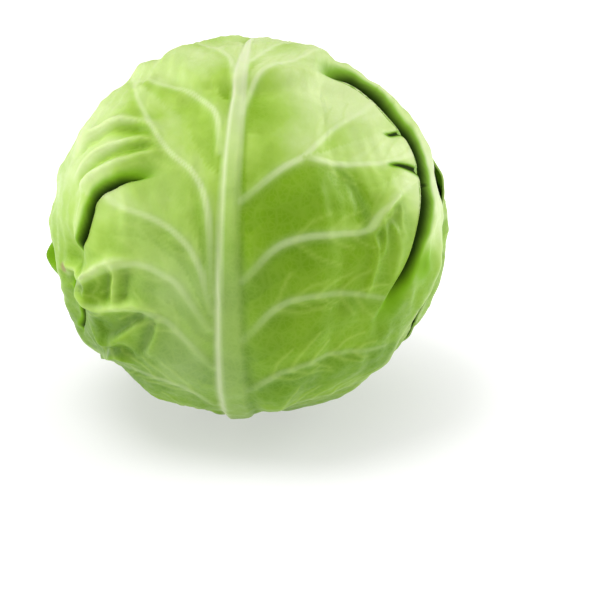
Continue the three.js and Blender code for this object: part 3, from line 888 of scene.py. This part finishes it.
def leaf_relief(leaf, x, y):
    """Heights above the bed in millimetres, the values that the finish reads, and the painted light and shade
    of veins, wrinkles and rib as a change of tone.
    """
    lines = vein_lines(leaf)
    draw = np.random.default_rng(VEINLET_SEED + leaf["order"])
    fine = [smooth_line(points) for line in lines for points in veinlets_of(line, draw)]
    vein, share = lay_lines(lines, vein_half_width, x, y)
    veinlet, _ = lay_lines(fine, veinlet_half_width, x, y)
    crest, fine_crest = bell(vein, 0, 1), bell(veinlet, 0, 1)
    rib_height, rib_paint, rib_shade, off_rib = model_rib(leaf, x, y)
    from_rib = np.maximum(np.abs(x) - rib_half_width(leaf, y), 0)
    from_vein = np.minimum(np.abs(vein) * vein_half_width(share), from_rib)
    height = np.maximum(rib_height, along(VEIN_HEIGHTS, share) * crest)
    height += PUFF_HEIGHT * (1 - np.exp(-from_vein / PUFF_REACH)) + VEINLET_HEIGHT * fine_crest
    for rise, seed, wavelength in UNEVENNESS:
        height += rise * ripples(seed + leaf["order"], x, y, wavelength)
    height += spots(BULGES, leaf, x, y)
    upper = np.sign(x) * np.sign(vein) * smoothstep(*VEIN_SIDE_FADE, np.abs(vein))
    shading = VEIN_SIDE_SHADE * upper * off_rib * np.exp(-from_vein / VEIN_SIDE_REACH) - rib_shade
    for points, rise, wide in WRINKLES.get(leaf["name"], []):
        ridge = wrinkle(points, wide, x, y)
        height += rise * ridge
        flank = wrinkle(points, WRINKLE_FLANK * wide, x, y)
        shading += WRINKLE_SHADE * rise * (WRINKLE_CREST * ridge - flank)
    finish = {"vein": crest, "vein_pale": vein_paleness(share, y), "veinlet": fine_crest, "rib": rib_paint}
    return height, finish, shading


print("veins rise", VEIN_HEIGHTS, "mm at the rib and at the margin")

# %% [markdown]
# ## Tone, painted light and painted shade
# A head is never one green, and here its tone also carries painted light and shade: it is paler at the top as
# painted light from above, deeper low down as painted shade, and paler near the rim as a painted reflection
# of the white surround. The front leaf has lighter and deeper places of its own, partly its own tone and
# partly painted light and shade. Wax bloom, the pale dust that a thumb wipes off, lies in patches; the two at
# the far sides of the front leaf are a painted rim reflection. Two dry brown specks sit on the left, and two
# folded tabs get a vivid green as painted half shade. All are soft round spots.

# %% Tone, bloom, painted light and painted shade
TONE_MIDDLE = 0.5
# painted light on top, painted shade low down and a painted reflection of the surround near the rim
PAINTED_LIGHT_ON_TOP = (0.17, 20, 130)  # a change of tone, and where it starts and is full
PAINTED_SHADE_LOW_DOWN = (-0.25, 45, -60)
PAINTED_RIM_REFLECTION, PAINTED_RIM_REFLECTION_FADE = (0.18, 85, 135), (-40, 30)
TONE_RIPPLE, TONE_SEED, TONE_WAVELENGTH = 0.05, 80, 55
# patches partly of the leaf's own tone and partly painted light and painted shade
TONE_LIGHT_AND_SHADE_PATCHES = {
    "front_leaf": [
        ((-55, 26), 24, 0.30),
        ((-95, 40), 30, 0.12),
        ((-62, 58), 18, 0.2),
        ((-75, 82), 28, 0.26),
        ((-14, 10), 22, -0.10),
        ((30, 120), 26, 0.12),
        ((60, 92), 30, 0.28),
        ((30, 38), 22, -0.2),
        ((45, -20), 40, -0.12),
        ((115, 45), 28, 0.6),
        ((85, 110), 25, 0.35),
        ((-62, -36), 26, -0.34),
        ((50, 47), 15, -0.25),
        ((36, -8), 26, -0.1),
    ],
}
BLOOM = 0.01
# wax bloom; the two patches at the far sides of the front leaf are a painted rim reflection
BLOOM_AND_RIM_REFLECTION_PATCHES = {
    "front_leaf": [
        ((-20, 2), 22, 0.24),
        ((-18, -36), 20, 0.24),
        ((-36, 40), 24, 0.14),
        ((56, 90), 26, 0.16),
        ((118, 45), 28, 0.45),
        ((-114, 45), 28, 0.35),
        ((40, 146), 22, 0.15),
    ],
}
# painted half shade on two folded tabs that lie under a lip
PAINTED_HALF_SHADE_PATCHES = {"front_leaf": [((97, 4), 11, 0.5)], "back_left_leaf": [((97, -4), 11, 0.55)]}
DRY_SPOTS = {"front_leaf": [((-93, -2), 3.5, 1.0), ((-63, -54), 2.5, 1.0)]}


def faded(value, change, start, full):
    return change * smoothstep(start, full, value)


def tone_and_painted_light(leaf, x, y):
    """0 for the deepest green and 1 for the palest, with painted light on top, painted shade low down and a
    painted rim reflection.
    """
    tone = TONE_MIDDLE + faded(y, *PAINTED_LIGHT_ON_TOP) + faded(y, *PAINTED_SHADE_LOW_DOWN)
    tone += TONE_RIPPLE * ripples(leaf["order"] + TONE_SEED, x, y, TONE_WAVELENGTH)
    tone += faded(np.hypot(x, y), *PAINTED_RIM_REFLECTION) * smoothstep(*PAINTED_RIM_REFLECTION_FADE, y)
    return np.clip(tone + spots(TONE_LIGHT_AND_SHADE_PATCHES, leaf, x, y), 0, 1)


print("patches of tone:", {name: len(patches) for name, patches in TONE_LIGHT_AND_SHADE_PATCHES.items()})

# %% [markdown]
# ## Pressing and folding a leaf
# A leaf starts as a plain grid. Its square is pressed into a disc and the disc into the leaf's outline. The
# pleats then slide its points along the blade and lift them. Where a pleat pulls the blade flat, veins and
# wrinkles sink back.

# %% Folding
GRID_GATHER = 0.02  # draws grid lines together half way out, where the pleats are
CREASE_DEPTH = 0.8


def flat_outline(leaf, u, v):
    """Presses a square into the leaf's outline."""
    u = u + GRID_GATHER * np.sin(2 * math.pi * u)
    p = u * np.sqrt(1 - v * v / 2)
    q = v * np.sqrt(1 - u * u / 2)
    bearing = bearing_of(p, q)
    reach = np.hypot(p, q) * margin_radius(leaf, bearing)
    angle = np.radians(bearing)
    return reach * np.sin(angle), reach * np.cos(angle)


def fold_leaf(leaf, x, y, height):
    """Where the folds take every point: its new flat place, its height, and how deep it is tucked in, which
    also carries the painted shade of the creases and of the half-shaded tabs.
    """
    slid_x, slid_y = x.copy(), y.copy()
    folds, tucked_and_painted_shade = np.zeros(len(x)), np.zeros(len(x))
    for fold in PLEATS.get(leaf["name"], []):
        slide, rise, tuck_and_painted_shade, flattened = pleat(fold, x, y)
        slid_x += slide[0]
        slid_y += slide[1]
        folds += rise
        tucked_and_painted_shade = np.maximum(tucked_and_painted_shade, tuck_and_painted_shade)
        height = height * (1 - flattened)
    # creases: a shallow groove darkened with painted shade
    for points, wide in CREASES.get(leaf["name"], []):
        groove = crease_line(points, wide, x, y)
        tucked_and_painted_shade = np.maximum(tucked_and_painted_shade, groove)
        folds -= CREASE_DEPTH * groove
    tucked_and_painted_shade = np.maximum(tucked_and_painted_shade, spots(PAINTED_HALF_SHADE_PATCHES, leaf, x, y))
    return slid_x, slid_y, height + folds, tucked_and_painted_shade


print("a leaf is a grid, pressed to its outline and folded")

# %% [markdown]
# ## Modelling a leaf
# Every point of the folded leaf is laid on the bed at its own height. Solidify then gives the blade its
# thickness, with a second material on the inner side. What the finish needs to know is kept on the points
# as named values, such as where the veins run and how pale the blade is, and the flat leaf is kept as its
# UV map.

# %% Leaf builder
GRID_FINE, GRID_HIDDEN = 216, 100
BLADE_VISUAL = 0.9
MARGIN_PALE = 5.0  # millimetres


def read_points(mesh):
    co = np.zeros(len(mesh.vertices) * 3)
    mesh.vertices.foreach_get("co", co)
    return co.reshape(-1, 3)


def store(mesh, name, values):
    attribute = mesh.attributes.new(name, "FLOAT", "POINT")
    attribute.data.foreach_set("value", np.asarray(values, np.float32))


def keep_flat_leaf(mesh, x, y):
    loops = np.zeros(len(mesh.loops), int)
    mesh.loops.foreach_get("vertex_index", loops)
    uv = np.stack([x, y], axis=1)[loops] * MM
    mesh.uv_layers[0].data.foreach_set("uv", uv.ravel())


def shape_leaf(leaf, mesh):
    u, v, _ = read_points(mesh).T
    x, y = flat_outline(leaf, u, v)
    height, finish, shading = leaf_relief(leaf, x, y)
    slid_x, slid_y, height, tucked_and_painted_shade = fold_leaf(leaf, x, y, height)
    direction = to_direction(leaf, slid_x, slid_y)
    free = 1 - pressed(leaf, direction)
    lift = margin_lift(leaf, x, y) + height
    radius = bed_radius(leaf, direction) + BLADE + free * np.maximum(lift, 0) - hug(leaf, x, y)
    place = HEAD_CENTRE + MM * radius[:, None] * direction
    mesh.vertices.foreach_set("co", place.ravel())
    # painted shade in the folds, creases and tabs
    finish["tuck_and_painted_shade"] = tucked_and_painted_shade
    # wax bloom, with a painted rim reflection at the far sides of the front leaf
    finish["bloom_and_rim_reflection"] = BLOOM + spots(BLOOM_AND_RIM_REFLECTION_PATCHES, leaf, x, y)
    finish["dry"] = spots(DRY_SPOTS, leaf, x, y)
    # the tone carries painted light, painted shade, a painted rim reflection and the painted shade of veins
    # and wrinkles
    finish["tone"] = tone_and_painted_light(leaf, x, y) + shading
    finish["margin"] = 1 - smoothstep(0, MARGIN_PALE, inset_of(leaf, x, y))
    for name, values in finish.items():
        store(mesh, name, values)
    keep_flat_leaf(mesh, x, y)
    mesh.update()


def model_leaf(leaf, outer_finish, inner_finish):
    bpy.ops.object.select_all(action="DESELECT")
    side = GRID_FINE if leaf["wrapper"] else GRID_HIDDEN
    bpy.ops.mesh.primitive_grid_add(x_subdivisions=side, y_subdivisions=side, size=2)
    blade = bpy.context.object
    blade.name = leaf["name"] + "_blade"
    shape_leaf(leaf, blade.data)
    blade.data.materials.append(outer_finish)
    blade.data.materials.append(inner_finish)
    wall = blade.modifiers.new("thickness", "SOLIDIFY")
    wall.thickness = BLADE_VISUAL * MM
    wall.offset = -1
    wall.material_offset = 1
    bpy.ops.object.modifier_apply(modifier=wall.name)
    bpy.ops.object.shade_smooth()
    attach(blade, "root")
    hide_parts(leaf["name"])
    return blade


print("a blade is", BLADE_VISUAL, "mm thick")

# %% [markdown]
# ## The colour of a leaf
# The colour runs from deep green to a pale yellow green, by a tone that also carries painted light and shade.
# Over it come a net of the finest veins, the pale rib with its painted highlight, the pale veins, the paler
# margin and the wax bloom with its painted rim reflection, and at last the painted shade of the folds, first
# vivid and then dark, and the dry specks. Each is mixed in by what the points carry, so the colours follow
# the form exactly.

# %% Leaf colour
# painted shade deep in the folds, and a vivid green of painted half shade at their edges and on tabs
PAINTED_FOLD_SHADE_GREEN = srgb(18, 42, 0)
PAINTED_HALF_SHADE_GREEN = srgb(118, 172, 14)
DEEP_GREEN = srgb(90, 136, 4)
LEAF_GREEN = srgb(126, 170, 20)
FRESH_GREEN = srgb(164, 201, 78)
PALE_GREEN = srgb(212, 231, 162)
VEIN_PALE = srgb(222, 237, 182)
RIB_PALE = srgb(228, 238, 194)
NET_GREEN = srgb(178, 208, 92)
INNER_GREEN = srgb(128, 180, 40)
DRY_BROWN = srgb(150, 128, 84)
# the pale of wax bloom, also used for a painted rim reflection
WAX_BLOOM_AND_RIM_REFLECTION = srgb(204, 220, 176)
CLOUD_SCALE, CLOUD_TONE = 45.0, 0.5
GREENS = [(0.0, DEEP_GREEN), (0.4, LEAF_GREEN), (0.65, FRESH_GREEN), (1.0, PALE_GREEN)]
NET_SCALE, NET_EDGE, NET_STRENGTH = 170.0, 0.16, 0.12
FINE_NET_SCALE, FINE_NET_EDGE, FINE_NET_STRENGTH = 430.0, 0.18, 0.1
VEINLET_PAINT = 0.3
VEIN_CORE, VEIN_CORE_PAINT, VEIN_PAINT = (0.4, 1.0), 0.5, 0.36
MARGIN_PAINT = 0.35
BLOOM_CLOUDS = (0.25, 0.7, 0.7, 1.2)  # the last two are the strengths, as in the next three
PAINTED_HALF_SHADE_FADE = (0.0, 0.5, 0.0, 0.9)
PAINTED_FOLD_SHADE_FADE = (0.35, 0.85, 0.0, 1.0)
DRY_FADE = (0.3, 0.9, 0.0, 0.8)


def netting_of(look, flat, scale, edge, strength):
    cells = look.texture("ShaderNodeTexVoronoi", flat, scale, feature="DISTANCE_TO_EDGE")
    return look.fade(cells.outputs["Distance"], 0.0, edge, strength, 0.0)


def leaf_colour(look, cloud, netting):
    change = look.maths("MULTIPLY_ADD", cloud, CLOUD_TONE, -CLOUD_TONE / 2)
    # the tone carries painted light on top, painted shade low down and a painted rim reflection
    colour = look.ramp(look.maths("ADD", look.attribute("tone"), change), *GREENS)
    colour = look.mix(netting, colour, NET_GREEN)
    colour = look.mix(look.maths("MULTIPLY", look.attribute("veinlet"), VEINLET_PAINT), colour, NET_GREEN)
    colour = look.mix(look.attribute("rib"), colour, RIB_PALE)
    vein = look.attribute("vein")
    flank = look.maths("MULTIPLY", vein, VEIN_PAINT)
    line = look.maths("MULTIPLY_ADD", look.fade(vein, *VEIN_CORE), VEIN_CORE_PAINT, flank)
    colour = look.mix(look.maths("MULTIPLY", line, look.attribute("vein_pale")), colour, VEIN_PALE)
    colour = look.mix(look.maths("MULTIPLY", look.attribute("margin"), MARGIN_PAINT), colour, PALE_GREEN)
    # wax bloom and a painted rim reflection
    bloom_and_rim_reflection = look.maths("MULTIPLY", look.attribute("bloom_and_rim_reflection"), look.fade(cloud, *BLOOM_CLOUDS))
    colour = look.mix(bloom_and_rim_reflection, colour, WAX_BLOOM_AND_RIM_REFLECTION)
    # painted half shade, then painted fold shade, deeper into the folds
    colour = look.mix(look.fade(look.attribute("tuck_and_painted_shade"), *PAINTED_HALF_SHADE_FADE), colour, PAINTED_HALF_SHADE_GREEN)
    colour = look.mix(look.fade(look.attribute("tuck_and_painted_shade"), *PAINTED_FOLD_SHADE_FADE), colour, PAINTED_FOLD_SHADE_GREEN)
    return look.mix(look.fade(look.attribute("dry"), *DRY_FADE), colour, DRY_BROWN)


print(len(GREENS), "greens from deep to pale")

# %% [markdown]
# ## The wax of a leaf
# A cabbage leaf is satin: a thin wax film over green tissue. The film is uneven, so the roughness varies a
# little, and it is dull inside the folds. A faint sheen gives the soft light rim. The net of veins and the
# clouds also raise a small bump, and a little light goes into the tissue. The inner side is plainer,
# because it hardly shows.

# %% Leaf finishes
WAX_TINT = srgb(238, 255, 150)
WAX_SCALE, WAX_ROUGHNESS = 420.0, (0.3, 0.7, 0.36, 0.5)
DULL_FOLD = (0.0, 0.6)
SHEEN, SHEEN_ROUGHNESS = 0.07, 0.4
SPECULAR = 0.24
BUMP_CLOUD, BUMP_NET = 0.5, 0.5
BUMP_STRENGTH, BUMP_DISTANCE = 0.35, 0.0008
TISSUE_LIGHT, TISSUE_RADIUS = 0.12, (0.5, 0.8, 0.15)
INNER_CLOUD_SCALE, INNER_CLOUDS = 60.0, (0.3, 0.7)
INNER_VEIN_PAINT = 0.5
INNER_ROUGHNESS = 0.5


def leaf_finish():
    look = Finish("waxy_leaf")
    flat = look.add("ShaderNodeUVMap").outputs["UV"]
    cloud = look.texture("ShaderNodeTexNoise", flat, CLOUD_SCALE, Detail=4.0).outputs["Fac"]
    grain = look.texture("ShaderNodeTexNoise", flat, WAX_SCALE, Detail=3.0).outputs["Fac"]
    net = netting_of(look, flat, NET_SCALE, NET_EDGE, NET_STRENGTH)
    fine_net = netting_of(look, flat, FINE_NET_SCALE, FINE_NET_EDGE, FINE_NET_STRENGTH)
    netting = look.maths("MAXIMUM", net, fine_net)
    look.set("Base Color", leaf_colour(look, cloud, netting))
    dull = look.fade(look.attribute("tuck_and_painted_shade"), *DULL_FOLD)
    look.set("Roughness", look.maths("MAXIMUM", look.fade(grain, *WAX_ROUGHNESS), dull))
    look.set("Sheen Weight", SHEEN)
    look.set("Sheen Tint", WAX_TINT)
    look.set("Sheen Roughness", SHEEN_ROUGHNESS)
    look.set("Specular IOR Level", SPECULAR)
    look.set("Specular Tint", WAX_TINT)
    height = look.maths("MULTIPLY_ADD", cloud, BUMP_CLOUD, look.maths("MULTIPLY", netting, BUMP_NET))
    look.bump(height, BUMP_STRENGTH, BUMP_DISTANCE)
    look.let_light_in(TISSUE_LIGHT, TISSUE_RADIUS)
    return look.material


def inner_leaf_finish():
    look = Finish("leaf_inner_side")
    flat = look.add("ShaderNodeUVMap").outputs["UV"]
    cloud = look.texture("ShaderNodeTexNoise", flat, INNER_CLOUD_SCALE, Detail=4.0).outputs["Fac"]
    colour = look.mix(look.fade(cloud, *INNER_CLOUDS), INNER_GREEN, LEAF_GREEN)
    vein = look.maths("MULTIPLY", look.attribute("vein"), INNER_VEIN_PAINT)
    look.set("Base Color", look.mix(vein, colour, PALE_GREEN))
    look.set("Roughness", INNER_ROUGHNESS)
    look.let_light_in(TISSUE_LIGHT, TISSUE_RADIUS)
    return look.material


waxy_leaf = leaf_finish()
leaf_inner_side = inner_leaf_finish()
print("finishes:", waxy_leaf.name, leaf_inner_side.name)

# %% [markdown]
# ## The heart
# Under the large leaves the head is a firm ball of young leaves. It starts as a sphere. Every point is
# moved along its own direction to the ball's form, with a low step where the margin of a young leaf ends.
# The points round the lower pole are turned in, up to the tip of the stalk, which makes the socket that the
# stalk fills.

# %% Heart
HEART_SEGMENTS, HEART_RINGS = 192, 128
YOUNG_LEAVES = 7
YOUNG_STEP, YOUNG_STEP_FADE = 0.9, (-1.2, 0.6)
YOUNG_SMALLER = 8
YOUNG_WAVE, YOUNG_WAVES = 4, 3
YOUNG_SINK = 0.7
YOUNG_RIB_HEIGHT, YOUNG_RIB_HALF_WIDTH = 0.9, 3.5
SOCKET_MOUTH_RADIUS = 15.5
SOCKET_TIP_RADIUS, SOCKET_TIP_HEIGHT = 3.5, 78.5
POLE = 1e-6


def young_relief(direction):
    relief = np.zeros(len(direction))
    ribs = np.zeros(len(direction))
    for order in range(YOUNG_LEAVES):
        young = make_leaf(order - YOUNG_LEAVES, "young")
        x, y = to_flat(young, direction)
        wave = YOUNG_WAVE * np.sin(np.radians(YOUNG_WAVES * bearing_of(x, y)))
        step = smoothstep(*YOUNG_STEP_FADE, inset_of(young, x, y) - YOUNG_SMALLER - wave)
        rib = step * bell(x, 0, YOUNG_RIB_HALF_WIDTH)
        relief = np.where(step > 0, relief * (1 - step) + step * YOUNG_STEP, relief * YOUNG_SINK)
        ribs = ribs * (1 - step) + rib
    return relief + YOUNG_RIB_HEIGHT * ribs, ribs


def turn_in_socket(direction, ball, place):
    across = ball * np.hypot(direction[:, 0], direction[:, 1])
    inside = (across < SOCKET_MOUTH_RADIUS) & (direction[:, 2] < 0)
    share = across[inside] / SOCKET_MOUTH_RADIUS
    radius = np.where(share < POLE, 0, along((SOCKET_TIP_RADIUS, SOCKET_MOUTH_RADIUS), share))
    heading = np.arctan2(direction[inside, 1], direction[inside, 0])
    mouth_height = HEAD_CENTRE[2] / MM - HEART_HALF_HEIGHT_DOWN
    place[inside, 0] = radius * np.cos(heading)
    place[inside, 1] = radius * np.sin(heading)
    place[inside, 2] = along((SOCKET_TIP_HEIGHT, mouth_height), share)


def model_heart(finish):
    bpy.ops.object.select_all(action="DESELECT")
    bpy.ops.mesh.primitive_uv_sphere_add(segments=HEART_SEGMENTS, ring_count=HEART_RINGS, radius=1)
    heart = bpy.context.object
    heart.name = "heart_of_young_leaves"
    mesh = heart.data
    direction = read_points(mesh)
    relief, ribs = young_relief(direction)
    ball = heart_ball(direction)
    place = HEAD_CENTRE / MM + (ball + relief)[:, None] * direction
    turn_in_socket(direction, ball, place)
    mesh.vertices.foreach_set("co", (MM * place).ravel())
    store(mesh, "rib", ribs)
    mesh.update()
    mesh.materials.append(finish)
    bpy.ops.object.shade_smooth()
    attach(heart, "root")
    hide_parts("heart")
    return heart


print("the heart is", 2 * HEART_HALF_WIDTH, "mm wide")

# %% [markdown]
# ## The heart's finish
# Young leaves have seen no sun. They are a pale yellow green, nearly white on their ribs, and a little
# shiny. The heart has no flat leaf to measure on, so its clouds and its net of fine veins are laid out in
# space, by Object coordinates.

# %% Heart finish
YOUNG_GREEN = srgb(206, 224, 140)
YOUNG_PALE = srgb(232, 238, 190)
YOUNG_CLOUD_SCALE, YOUNG_CLOUDS = 60.0, (0.35, 0.65)
YOUNG_NET_SCALE, YOUNG_NET_EDGE, YOUNG_NET_STRENGTH = 160.0, 0.1, 0.3
YOUNG_ROUGHNESS = 0.4
YOUNG_LIGHT, YOUNG_RADIUS = 0.15, (0.6, 0.8, 0.3)


def young_leaf_finish():
    look = Finish("young_leaf")
    place = look.add("ShaderNodeTexCoord").outputs["Object"]
    cloud = look.texture("ShaderNodeTexNoise", place, YOUNG_CLOUD_SCALE, Detail=5.0).outputs["Fac"]
    net = netting_of(look, place, YOUNG_NET_SCALE, YOUNG_NET_EDGE, YOUNG_NET_STRENGTH)
    colour = look.mix(look.fade(cloud, *YOUNG_CLOUDS), YOUNG_GREEN, YOUNG_PALE)
    colour = look.mix(net, colour, YOUNG_PALE)
    look.set("Base Color", look.mix(look.attribute("rib"), colour, YOUNG_PALE))
    look.set("Roughness", YOUNG_ROUGHNESS)
    look.let_light_in(YOUNG_LIGHT, YOUNG_RADIUS)
    return look.material


heart = model_heart(young_leaf_finish())
print(heart.name, len(heart.data.polygons), "faces")

# %% [markdown]
# ## The stalk
# The stalk was cut across just under the head. It starts as a disc, the cut face, and is drawn up ring by
# ring with extrude and resize: a foot, a neck, a shoulder and a long taper into the heart. Leaves that were
# taken off have left crescent scars round it, each turned on by the golden angle, which are raised by a
# formula.

# %% Stalk
STALK_SIDES = 96
STALK_PROFILE = [(16.8, 0.0), (18.0, 1.2), (16.0, 7.0), (14.0, 16.0), (3.0, 78.0)]
STALK_RING_STEP = 1.2
STALK_LONGEST_RINGED = 16  # a longer stretch gets no more rings than this length
STALK_SHARP = math.radians(40)
SCARS, SCAR_START, SCAR_PITCH = 9, 3.0, 1.5
SCAR_RISE, SCAR_WIDTH = 0.7, 0.9
SCAR_SAG, SCAR_REACH, SCAR_ENDS = 1.5, 50, (60, 35)
SCARRED = (1.3, 16.5)


def scar_relief(x, y, z):
    relief = np.zeros(len(x))
    heading = np.degrees(np.arctan2(x, -y))
    for scar in range(SCARS):
        aside = (heading - scar * GOLDEN_ANGLE + 180) % 360 - 180
        line = SCAR_START + SCAR_PITCH * scar + SCAR_SAG * (aside / SCAR_REACH) ** 2
        relief += SCAR_RISE * bell(z, line, SCAR_WIDTH) * smoothstep(*SCAR_ENDS, np.abs(aside))
    return relief * (z > SCARRED[0]) * (z < SCARRED[1])


def draw_up(radius):
    """Draws the selected disc up along the profile."""
    for (low_radius, low), (high_radius, high) in zip(STALK_PROFILE, STALK_PROFILE[1:]):
        steps = max(1, round(min(high - low, STALK_LONGEST_RINGED) / STALK_RING_STEP))
        rise = (high - low) / steps
        for step in range(1, steps + 1):
            wanted = along((low_radius, high_radius), step / steps)
            bpy.ops.mesh.extrude_region_move(TRANSFORM_OT_translate={"value": (0, 0, rise * MM)})
            bpy.ops.transform.resize(value=(wanted / radius, wanted / radius, 1))
            radius = wanted


def model_stalk(finish):
    bpy.ops.object.select_all(action="DESELECT")
    radius = STALK_PROFILE[0][0]
    bpy.ops.mesh.primitive_circle_add(vertices=STALK_SIDES, radius=radius * MM, fill_type="NGON")
    stalk = bpy.context.object
    stalk.name = "cut_stalk"
    bpy.ops.object.mode_set(mode="EDIT")
    draw_up(radius)
    bpy.ops.mesh.select_all(action="SELECT")
    bpy.ops.mesh.normals_make_consistent(inside=False)
    bpy.ops.object.mode_set(mode="OBJECT")
    mesh = stalk.data
    x, y, z = read_points(mesh).T / MM
    swell = 1 + scar_relief(x, y, z) / np.maximum(np.hypot(x, y), 1)
    mesh.vertices.foreach_set("co", (MM * np.stack([x * swell, y * swell, z], axis=1)).ravel())
    mesh.update()
    mesh.materials.append(finish)
    bpy.ops.object.shade_smooth_by_angle(angle=STALK_SHARP)
    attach(stalk, "root")
    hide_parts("stalk")
    return stalk


print("the stalk is", STALK_PROFILE[-1][1], "mm long")

# %% [markdown]
# ## The stalk's finish
# The cut face shows pale pith, a ring that has dried brown and the green skin. Its colour goes by the
# distance from the axis, made uneven by a fine noise. The same noise speckles the skin above the cut and
# raises a bump.

# %% Stalk finish
STALK_GREEN = srgb(186, 206, 132)
STALK_PITH = srgb(232, 232, 205)
STALK_DRY = srgb(190, 170, 120)
STALK_EDGE = 0.018  # metres, as are the next three
STALK_UNEVEN = 0.003
CUT_FACE = (0.0009, 0.0013)
STALK_BUMP_DISTANCE = 0.0006
STALK_BUMP_STRENGTH = 0.4
STALK_GRAIN_SCALE, STALK_SPECKLES = 350.0, (0.4, 0.7)
STALK_ROUGHNESS = 0.6
CUT_RINGS = [
    (0.0, STALK_PITH),
    (0.62, STALK_PITH),
    (0.72, STALK_DRY),
    (0.8, STALK_GREEN),
    (1.0, STALK_GREEN),
]


def stalk_finish():
    look = Finish("cut_stalk")
    place = look.add("ShaderNodeTexCoord").outputs["Object"]
    parts = look.add("ShaderNodeSeparateXYZ")
    look.join(place, parts.inputs["Vector"])
    squares = [look.maths("POWER", parts.outputs[axis], 2.0) for axis in ("X", "Y")]
    radius = look.maths("SQRT", look.maths("ADD", *squares))
    grain = look.texture("ShaderNodeTexNoise", place, STALK_GRAIN_SCALE, Detail=4.0).outputs["Fac"]
    uneven = look.maths("MULTIPLY_ADD", grain, STALK_UNEVEN, -STALK_UNEVEN / 2)
    rings = look.ramp(look.fade(look.maths("ADD", radius, uneven), 0.0, STALK_EDGE), *CUT_RINGS)
    on_cut = look.fade(parts.outputs["Z"], *CUT_FACE, 1.0, 0.0)
    skin = look.mix(look.fade(grain, *STALK_SPECKLES), STALK_GREEN, STALK_PITH)
    look.set("Base Color", look.mix(on_cut, skin, rings))
    look.set("Roughness", STALK_ROUGHNESS)
    look.bump(grain, STALK_BUMP_STRENGTH, STALK_BUMP_DISTANCE)
    return look.material


stalk = model_stalk(stalk_finish())
print(stalk.name, len(stalk.data.polygons), "faces")

# %% [markdown]
# ## Laying the leaves
# Now every leaf is modelled, from the heart outwards. All of them share one finish, and each has a form of
# its own by its outline, its turn and its place in the order. The leaves that are nearly hidden get a
# coarser grid.

# %% Leaves
for leaf in leaves:
    blade = model_leaf(leaf, waxy_leaf, leaf_inner_side)
    print(blade.name, len(blade.data.polygons), "faces")
